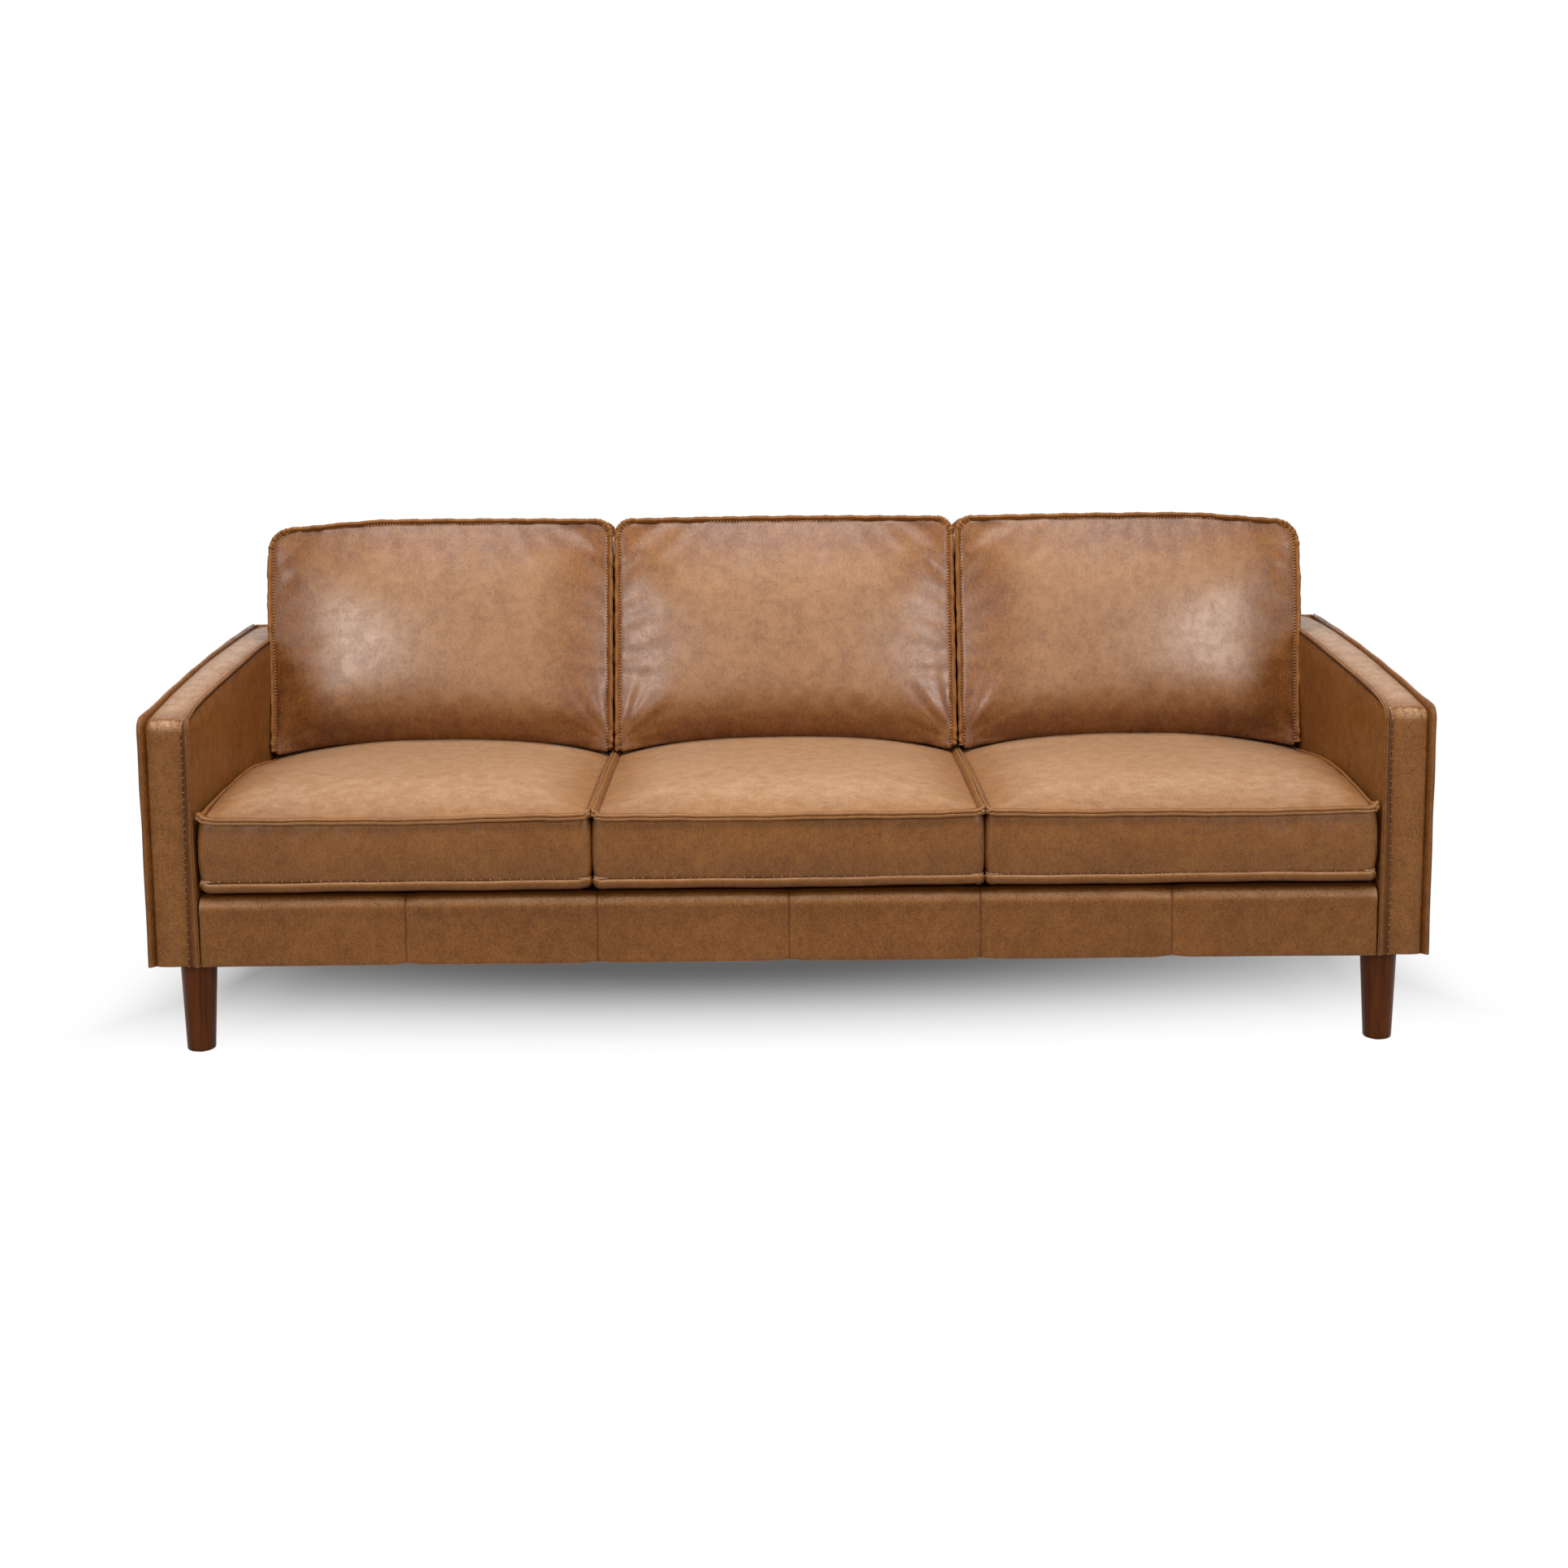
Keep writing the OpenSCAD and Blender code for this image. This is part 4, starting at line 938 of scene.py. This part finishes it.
back = dict(inset=0.0078, footY=0.131, footZ=0.417, lean=math.tan(math.radians(12.3)), topZ=0.856,
            bulge=0.030, outerDrop=0.012, rearDrop=0.014, topArch=0.003, sideBow=0.016,
            outerRadius=0.040, innerRadius=0.028, footRadius=0.012,
            lipOut=0.0088, lipThick=0.0068, lipGroove=0.0026, stitchIn=0.0048,
            na=66, nb=14, nc=46)
restTopRadius = 0.022  # of the inside cover's bend over the top rail
# how far the leaning face runs back over its height: tan 10 degrees times the height
backRun = float(np.tan(np.radians(10)) * (restHigh[2] - restTopRadius - restLow[2]))


def restAt(z):
    # inside face of the upholstered back at a height
    share = (z - restLow[2]) / (restHigh[2] - restTopRadius - restLow[2])
    return restLow[1] + share * backRun


def roundCorners(x, z, half, low, high, radii):
    # moves the points of each corner square onto a quarter disc
    for signX, signZ, radius in radii:
        i = np.clip((signX * x - (half - radius)) / radius, 0, 1)
        edge = high if signZ > 0 else low
        j = np.clip((signZ * z - (signZ * edge - radius)) / radius, 0, 1)
        both = (i > 0) & (j > 0)
        newX = signX * (half - radius + radius * i * np.sqrt(1 - j ** 2 / 2))
        newZ = signZ * (signZ * edge - radius + radius * j * np.sqrt(1 - i ** 2 / 2))
        x, z = np.where(both, newX, x), np.where(both, newZ, z)
    return x, z


def makeBackCushion(name, centre, seed):
    # a leaning box with rounded corners and a domed front, then blown up, pleated and creased
    na, nb, nc = back["na"], back["nb"], back["nc"]
    ids, coords, faces = boxLattice(na, nb, nc)
    a, b, c = coords.T
    u = 2 * a - 1
    outer = {"left": -1, "middle": 0, "right": 1}[name]
    half = seatPitch / 2 - 0.0006 - back["inset"]
    low, high = back["footZ"], back["topZ"]
    x = u * half
    z = low + (high - low) * c
    leftRadius = back["outerRadius"] if outer < 0 else back["innerRadius"]
    rightRadius = back["outerRadius"] if outer > 0 else back["innerRadius"]
    footRadius = back["footRadius"]
    x, z = roundCorners(x, z, half, low, high, [(-1, 1, leftRadius), (1, 1, rightRadius),
                                                (-1, -1, footRadius), (1, -1, footRadius)])
    share = (z - low) / (high - low)
    # the top edge sinks towards the sofa's ends, the sides bow out a little, the foot rides over the seat
    z = z - back["outerDrop"] * smoothStep((outer * x - 0.10) / 0.22) * share * (outer != 0)
    z = z + back["topArch"] * np.cos(x / half * math.pi / 2) * share
    z = z - back["rearDrop"] * b * smoothStep((share - 0.75) / 0.25)
    if outer:
        bow = np.sin(np.clip(share, 0, 1) * math.pi * 0.8) * smoothStep(outer * x / half)
        x = x + outer * back["sideBow"] * bow * share
    archRise = seatTopAt(np.clip(u, -1, 1), 0.8) - seatTopAt(1.0, 0.8)
    z = z + archRise * (1 - share) ** 3
    frontY = back["footY"] + (z - low) * back["lean"]
    rearY = restAt(np.minimum(z, 0.80)) - 0.001 - 0.012 * smoothStep((z - 0.77) / 0.09)
    dome = (1 - np.abs(u) ** 2.4) * (1 - np.abs(2 * share - 1) ** 2.6)  # superellipse both ways
    puff = back["bulge"] * dome * (1 - b) ** 2
    tuckUnder = 0.03 * (1 - smoothStep(share / 0.14)) * (1 - b) * (1 - np.abs(u) ** 6)
    y = frontY + (rearY - frontY) * b - puff + tuckUnder
    points = np.stack([centre + x, y, z], 1)
    piece = makePiece(name + "BackCushion", points, faces, leathers["back"])
    frontSeam = perimeter(ids, 1, 0)
    rearSeam = perimeter(ids, 1, nb)
    pins = np.zeros(len(points))
    pins[frontSeam] = 1
    pins[rearSeam] = 1
    pins[(b == 1) & (share < 0.75)] = 1
    pins[c == 0] = 1
    points = inflate(piece, pins, 3.5, 0.004, 0.022)
    writePoints(piece, points)
    normals = vertexNormals(points, faces)
    onFront, onSide = b == 0, np.abs(u) == 1
    sideGap = (1 - np.abs(u)) * half
    endGap = np.minimum(share, 1 - share) * (high - low)
    away = np.where(onFront, np.minimum(sideGap, endGap), np.minimum(b, 1 - b) * 0.14)
    along = np.where(np.where(onFront, sideGap < endGap, onSide), z, x)
    edge = np.minimum(1 - np.abs(u), 2 * np.minimum(share, 1 - share))
    # painted shade: the face darkens towards its edges and in the valleys beside the seams, and pales a
    # little near the top; the sides and rear get a flat value
    paintedFaceShade = 0.37 + 0.33 * smoothStep(edge / 0.5) + 0.03 * smoothStep((share - 0.6) / 0.3)
    wear = np.where(onFront, paintedFaceShade - 0.3 * np.exp(-(away / 0.014) ** 2), 0.45)
    fine, outward, found = refine(piece, away=away, along=along, wear=wear)
    lift = gathers(found["along"], found["away"], seed, 0.02, 0.010, 0.0004)
    lift = lift + cornerCreases(fine - [centre, 0, 0], half, low, seed) * (outward[:, 1] < -0.3)
    fine = fine + outward * lift[:, None]
    limit = seatPitch / 2 - 0.0008
    offset = fine[:, 0] - centre
    outwardLimit = limit + 0.012 * smoothStep((fine[:, 2] - 0.645) / 0.05)
    offset = np.clip(offset, -(outwardLimit if outer < 0 else limit), outwardLimit if outer > 0 else limit)
    fine[:, 0] = centre + offset
    fine[:, 1] = np.minimum(fine[:, 1], restAt(np.minimum(fine[:, 2], 0.77)) - 0.0008
                            + 0.02 * smoothStep((fine[:, 2] - 0.775) / 0.02))
    writePoints(piece, fine)
    setValues(piece, "wear", found["wear"])
    dress(piece, name + "_back_cushion", "leather", name + "_back_cover", name + "_back_core")
    addBackSeams(name, points, normals, ids, nb, seed, fine[outward[:, 1] < -0.3])


def cornerCreases(points, half, low, seed):
    # folds that run from each lower corner up into the face: waves across a ray, strongest near the corner
    total = np.zeros(len(points))
    for side in (-1, 1):
        outFrom = np.stack([half - side * points[:, 0], points[:, 2] - low - 0.02], 1)
        reach = np.linalg.norm(outFrom, axis=1) + 1e-6
        angle = np.arctan2(outFrom[:, 1], outFrom[:, 0])
        wave = np.sin(angle * 11 + seed * side) + 0.5 * np.sin(angle * 23 + 2 * seed)
        total += 0.0011 * wave * np.exp(-((reach - 0.07) / 0.06) ** 2) * smoothStep(reach / 0.05)
    return total


def addBackSeams(name, points, normals, ids, nb, seed, face):
    # a double lip up one side, over the top and down the other, round the front and the rear panel
    parts = []
    for order, sheet in enumerate((ids[:, 0], ids[:, nb])):
        loop = np.concatenate([sheet[0, 1:], sheet[1:-1, -1], sheet[-1, 1:][::-1]])
        path, length = resample(np.concatenate([points[loop], normals[loop]], 1), 460)
        travel = np.linspace(0, length, 460)
        ahead = np.array([0, -0.45 if order == 0 else 0.5, 0])
        out = unit(path[:, 3:] * [1, 0.15, 1] + ahead)
        shift = 0.0012 * np.sin(travel * 19 + seed) + 0.0007 * np.sin(travel * 47 + 2 * seed)
        line = path[:, :3] - out * 0.002 + np.array([0, 1, 0]) * shift[:, None]
        ears = earsAt(path[:, [0, 2]], points[[sheet[0, -1], sheet[-1, -1]]][:, [0, 2]], 0.02)
        wave = 1 + 0.08 * np.sin(travel * 29 + seed) + 0.05 * np.sin(travel * 83 + seed) + 0.12 * ears
        lip = doubleLip(back["lipOut"], back["lipThick"], back["lipGroove"])
        strip, stripFaces = sweepStrip(line, out, lip, wave=wave)
        parts.append((strip, stripFaces, np.broadcast_to(doubleLipToneAndShade - 0.14, strip.shape[:2])))
        if order == 0:
            toMiddle = unit((points[loop].mean(0) - path[:, :3]) * [1, 0, 1])
            row = path[:, :3] + toMiddle * back["stitchIn"]
            gap = ((row[:, None, ::2] - face[None, :, ::2]) ** 2).sum(2)
            row[:, 1] = np.minimum(row[:, 1], face[gap.argmin(1), 1]) - 0.0006
            forward = np.tile([0.0, -1.0, 0.0], (len(row), 1))
            stitches, stitchFaces = stitchRow(row, forward, 0.006, 0.0055, 0.0012)
            thread = makePiece(name + "BackStitches", stitches, stitchFaces, threadMaterial)
            dress(thread, name + "_back_cushion", "leather")
    makeDetail(name + "BackFlanges", parts, leathers["edge"], name + "_back_cushion")


for number, name in enumerate(cushionBodies):
    makeBackCushion(name, cushionCentres[name], 13 + number)
print("sofa: back cushions made")


# upholstered back: inside and outside

def makeRest():
    # the inside cover: up the leaning front, over the rounded top edge to the back seam
    radius = restTopRadius
    low, high = float(restLow[2]), float(restHigh[2])
    rise = np.linspace(low, high - radius, 50)
    face = np.stack([restAt(rise), rise], 1)
    turn = np.linspace(0, math.pi / 2, 12)[1:]
    cornerY = face[-1, 0] + radius
    corner = np.stack([cornerY - radius * np.cos(turn), high - radius + radius * np.sin(turn)], 1)
    run = np.linspace(cornerY, rearAt(high) - 0.004, 8)[1:]
    profile = np.concatenate([face, corner, np.stack([run, np.full_like(run, high)], 1)])
    x = np.linspace(-armInside, armInside, 200)
    normal = pathTangents(profile)
    normal = np.stack([-normal[:, 1], normal[:, 0]], 1)
    depth = 0.0008 * ripple(x[:, None] * 11, profile[None, :, 1] * 10, 41, 4)
    flat = profile[None] - normal[None] * depth[..., None]
    points = joinAxes(x[:, None], flat[..., 0], flat[..., 1])
    parts = [(points, gridFaces(len(x), len(profile)), np.full(depth.shape, 0.5))]
    piece = makeDetail("backInsideCover", parts, leathers["rail"], "frame")
    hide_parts("back_inside_cover")


outsideBack = dict(seamAt=0.36, valley=0.0010, edgeDip=0.0010, sag=0.0004, lipOut=0.0065, lipThick=0.005)


def makeOutsideBack():
    # leaning panel with three sewn widths, stepped in above the arms
    low, step, high = float(outerLow[2]), armTopZ, float(outerHigh[2])
    parts = []
    for z0, z1, reach, rows in ((low, step, float(outerHigh[0]), 60), (step, high, armInside, 20)):
        seams = np.array([-1, 1]) * outsideBack["seamAt"]
        x = np.unique(np.concatenate([np.linspace(-reach, reach, 240)]
                                     + [s + np.linspace(-0.006, 0.006, 13) for s in seams]))
        z = np.linspace(z0, z1, rows)
        near = np.abs(x[:, None] - seams[None]).min(1)[:, None]
        edge = np.minimum((reach - np.abs(x))[:, None], 1.0)
        if z0 == low:
            edge = np.minimum(edge, (z - low)[None])
        valleys = outsideBack["valley"] * np.exp(-(near / 0.0018) ** 2)
        edgeDips = outsideBack["edgeDip"] * np.exp(-(edge / 0.006) ** 2)
        depth = valleys + edgeDips + outsideBack["sag"] * (ripple(x[:, None] * 9, z[None] * 10, 51, 4) + 1)
        y = rearAt(z)[None] - depth
        points = joinAxes(x[:, None], y, z[None])
        # painted shade along the seam valleys
        wear = np.broadcast_to(0.45 - 0.9 * np.exp(-(near / 0.0016) ** 2), y.shape)
        parts.append((points, gridFaces(len(x), len(z), flip=True), wear))
    piece = makeDetail("backOutsideCover", parts, leathers["arm"], "frame")
    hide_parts("back_outside_cover")
    # flanges: along the top edge, and up each rear corner of the arms and of the upper back
    seams = []
    run = np.linspace(-armInside, armInside, 300)
    seams.append((joinAxes(run, rearAt(high) - 0.004, high - 0.002), [0, 0.4, 1]))
    for side in (-1, 1):
        rise = np.linspace(low, step - 0.004, 120)
        seams.append((joinAxes(side * (outerHigh[0] - 0.004), rearAt(rise) - 0.004, rise),
                      [side * 0.9, 0.5, 0]))
        ledge = np.linspace(armInside, outerHigh[0] - 0.006, 30)
        seams.append((joinAxes(side * ledge, rearAt(step) - 0.004, step - 0.006), [0, 0.3, 1]))
        upper = np.linspace(step, high - 0.003, 40)
        seams.append((joinAxes(side * (armInside - 0.004), rearAt(upper) - 0.003, upper),
                      [side * 0.8, 0.5, 0]))
    parts = []
    for path, out in seams:
        travel = np.linspace(0, 1, len(path))
        lip = roundedLip(outsideBack["lipOut"], outsideBack["lipThick"])
        outward = np.tile(np.array(out, float), (len(path), 1))
        strip, stripFaces = sweepStrip(path, outward, lip, wave=1 + 0.06 * np.sin(travel * 40))
        parts.append((strip, stripFaces, np.full(strip.shape[:2], 0.55)))
    makeDetail("backSeams", parts, leathers["edge"], "frame")


makeRest()
makeOutsideBack()
print("sofa: back made")


# finishes of the pieces that come from the frame

finishes = {
    "leg_wood": makeWood("walnutStain", (0.135, 0.034, 0.005), (0.065, 0.015, 0.003)),
    "frame_wood": makeWood("rawHardwood", (0.62, 0.44, 0.26), (0.45, 0.29, 0.16), False, (0.6, 0.75)),
    "fibreboard": makeWood("fibreboardBrown", (0.42, 0.29, 0.18), (0.30, 0.2, 0.12), False, (0.7, 0.85)),
    "foam": makeCloth("creamFoam", (0.80, 0.76, 0.62), (0.70, 0.65, 0.5), 1500),
    "webbing": makeCloth("greyWebbing", (0.12, 0.12, 0.13), (0.05, 0.05, 0.055), 1200),
    "deck_cloth": makeCloth("deckTicking", (0.30, 0.17, 0.09), (0.22, 0.12, 0.06), 1100),
    "dust_cloth": makeCloth("blackDustCloth", (0.03, 0.03, 0.03), (0.015, 0.015, 0.015), 1300),
    "steel": makeMetal("zincSteel", (0.55, 0.55, 0.53), 0.35),
    "glide_plastic": makeCloth("nylonGlide", (0.05, 0.05, 0.05), (0.03, 0.03, 0.03), 3000),
    "leather": leathers["rail"],
}
for part in frame["record"]["subparts"]:
    node = frame["nodes"][part["node"]]
    node.data.materials.clear()
    node.data.materials.append(finishes[part["material_slot"]])
print("sofa: finishes set")


# floor, light and camera

def cameraShare(nodes, links):
    # 1 for what the camera sees directly, through glass or in a reflection, 0 for other rays
    path = nodes.new("ShaderNodeLightPath")
    camera, passed = path.outputs["Is Camera Ray"], path.outputs["Is Transmission Ray"]
    through = addMath(nodes, links, "MAXIMUM", camera, passed)
    return addMath(nodes, links, "MAXIMUM", through, path.outputs["Is Glossy Ray"])


def makeStage():
    # a pale floor that keeps the shadow near the sofa and fades into a white background
    material, nodes, links, shader, place = makeMaterial("paleFloor")
    shader.inputs["Base Color"].default_value = (0.62, 0.62, 0.62, 1)
    shader.inputs["Roughness"].default_value = 1.0
    shader.inputs["Specular IOR Level"].default_value = 0.0
    seen = cameraShare(nodes, links)
    flat = nodes.new("ShaderNodeVectorMath")
    flat.operation = "MULTIPLY_ADD"
    flat.inputs[1].default_value = (0.45, 1.6, 0.0)
    flat.inputs[2].default_value = (0.08, -0.40, 0.0)
    links.new(place, flat.inputs[0])
    reach = nodes.new("ShaderNodeVectorMath")
    reach.operation = "LENGTH"
    links.new(flat.outputs["Vector"], reach.inputs[0])
    far = addRange(nodes, links, reach.outputs["Value"], 0.2, 1.1)
    axes = nodes.new("ShaderNodeSeparateXYZ")
    links.new(place, axes.inputs["Vector"])
    sideways = addRange(nodes, links, addMath(nodes, links, "ABSOLUTE", axes.outputs["X"]), 0.92, 1.3)
    far = addMath(nodes, links, "MAXIMUM", far, sideways)
    links.new(addMath(nodes, links, "MULTIPLY", seen, 0.09), shader.inputs["Emission Strength"])
    shader.inputs["Emission Color"].default_value = (1, 1, 1, 1)
    white = nodes.new("ShaderNodeEmission")
    mix = nodes.new("ShaderNodeMixShader")
    links.new(addMath(nodes, links, "MULTIPLY", far, seen), mix.inputs[0])
    links.new(shader.outputs[0], mix.inputs[1])
    links.new(white.outputs[0], mix.inputs[2])
    links.new(mix.outputs[0], nodes["Material Output"].inputs["Surface"])
    mesh = bpy.data.meshes.new("floor")
    mesh.from_pydata([(-30, -30, 0), (30, -30, 0), (30, 30, 0), (-30, 30, 0)], [], [(0, 1, 2, 3)])
    mesh.materials.append(material)
    floor = bpy.data.objects.new("floor", mesh)
    bpy.context.scene.collection.objects.link(floor)
    world = bpy.data.worlds.new("studio")
    bpy.context.scene.world = world
    world.use_nodes = True
    nodes, links = world.node_tree.nodes, world.node_tree.links
    strength = nodes.new("ShaderNodeMapRange")
    links.new(cameraShare(nodes, links), strength.inputs["Value"])
    strength.inputs["To Min"].default_value = 0.06
    strength.inputs["To Max"].default_value = 1.0
    nodes["Background"].inputs["Color"].default_value = (1, 1, 1, 1)
    links.new(strength.outputs["Result"], nodes["Background"].inputs["Strength"])


def addLamp(name, place, target, size, power):
    lamp = bpy.data.lights.new(name, "AREA")
    lamp.shape = "RECTANGLE"
    lamp.size, lamp.size_y = size
    lamp.energy = power
    lampObject = bpy.data.objects.new(name, lamp)
    forward = unit(np.array(target, float) - np.array(place, float))
    turned = viewMatrix(forward, np.array([0.0, 0.0, 1.0]))
    lampObject.matrix_world = Matrix.Translation(place) @ turned.to_4x4()
    bpy.context.scene.collection.objects.link(lampObject)


def viewMatrix(forward, up):
    right = unit(np.cross(forward, up))
    return Matrix(np.stack([right, np.cross(right, forward), -forward], 1).tolist())


def makeCamera():
    view = dict(place=(-0.019, -4.063, 1.196), yaw=0.25, pitch=5.55, roll=-0.52, lens=50.81, shift=-0.1429)
    yaw, pitch, roll = (math.radians(view[key]) for key in ("yaw", "pitch", "roll"))
    forward = np.array([math.sin(yaw) * math.cos(pitch), math.cos(yaw) * math.cos(pitch), -math.sin(pitch)])
    right = np.array([math.cos(yaw), -math.sin(yaw), 0.0])
    up = np.cross(right, forward)
    turned = math.cos(roll) * right + math.sin(roll) * up
    upright = -math.sin(roll) * right + math.cos(roll) * up
    camera = bpy.data.cameras.new("studioCamera")
    camera.lens = view["lens"]
    camera.sensor_width = 36.0
    camera.shift_y = view["shift"]
    cameraObject = bpy.data.objects.new("studioCamera", camera)
    basis = Matrix(np.stack([turned, upright, -forward], 1).tolist())
    cameraObject.matrix_world = Matrix.Translation(view["place"]) @ basis.to_4x4()
    bpy.context.scene.collection.objects.link(cameraObject)
    bpy.context.scene.camera = cameraObject


# place, the point it faces, size and watts
lamps = dict(overheadSoftbox=((0.0, -0.75, 2.8), (0, -0.2, 0.4), (3.2, 1.6), 92),
             leftSoftbox=((-2.2, -3.1, 1.65), (-0.3, 0, 0.6), (0.5, 0.85), 29),
             rightSoftbox=((2.2, -3.1, 1.65), (0.3, 0, 0.6), (0.5, 0.85), 29),
             rearSoftbox=((0.0, 3.4, 0.55), (0, 0.4, 0.45), (2.6, 0.5), 26))

makeStage()
for lampName, settings in lamps.items():
    addLamp(lampName, *settings)
makeCamera()
bpy.context.scene.view_settings.view_transform = "Standard"
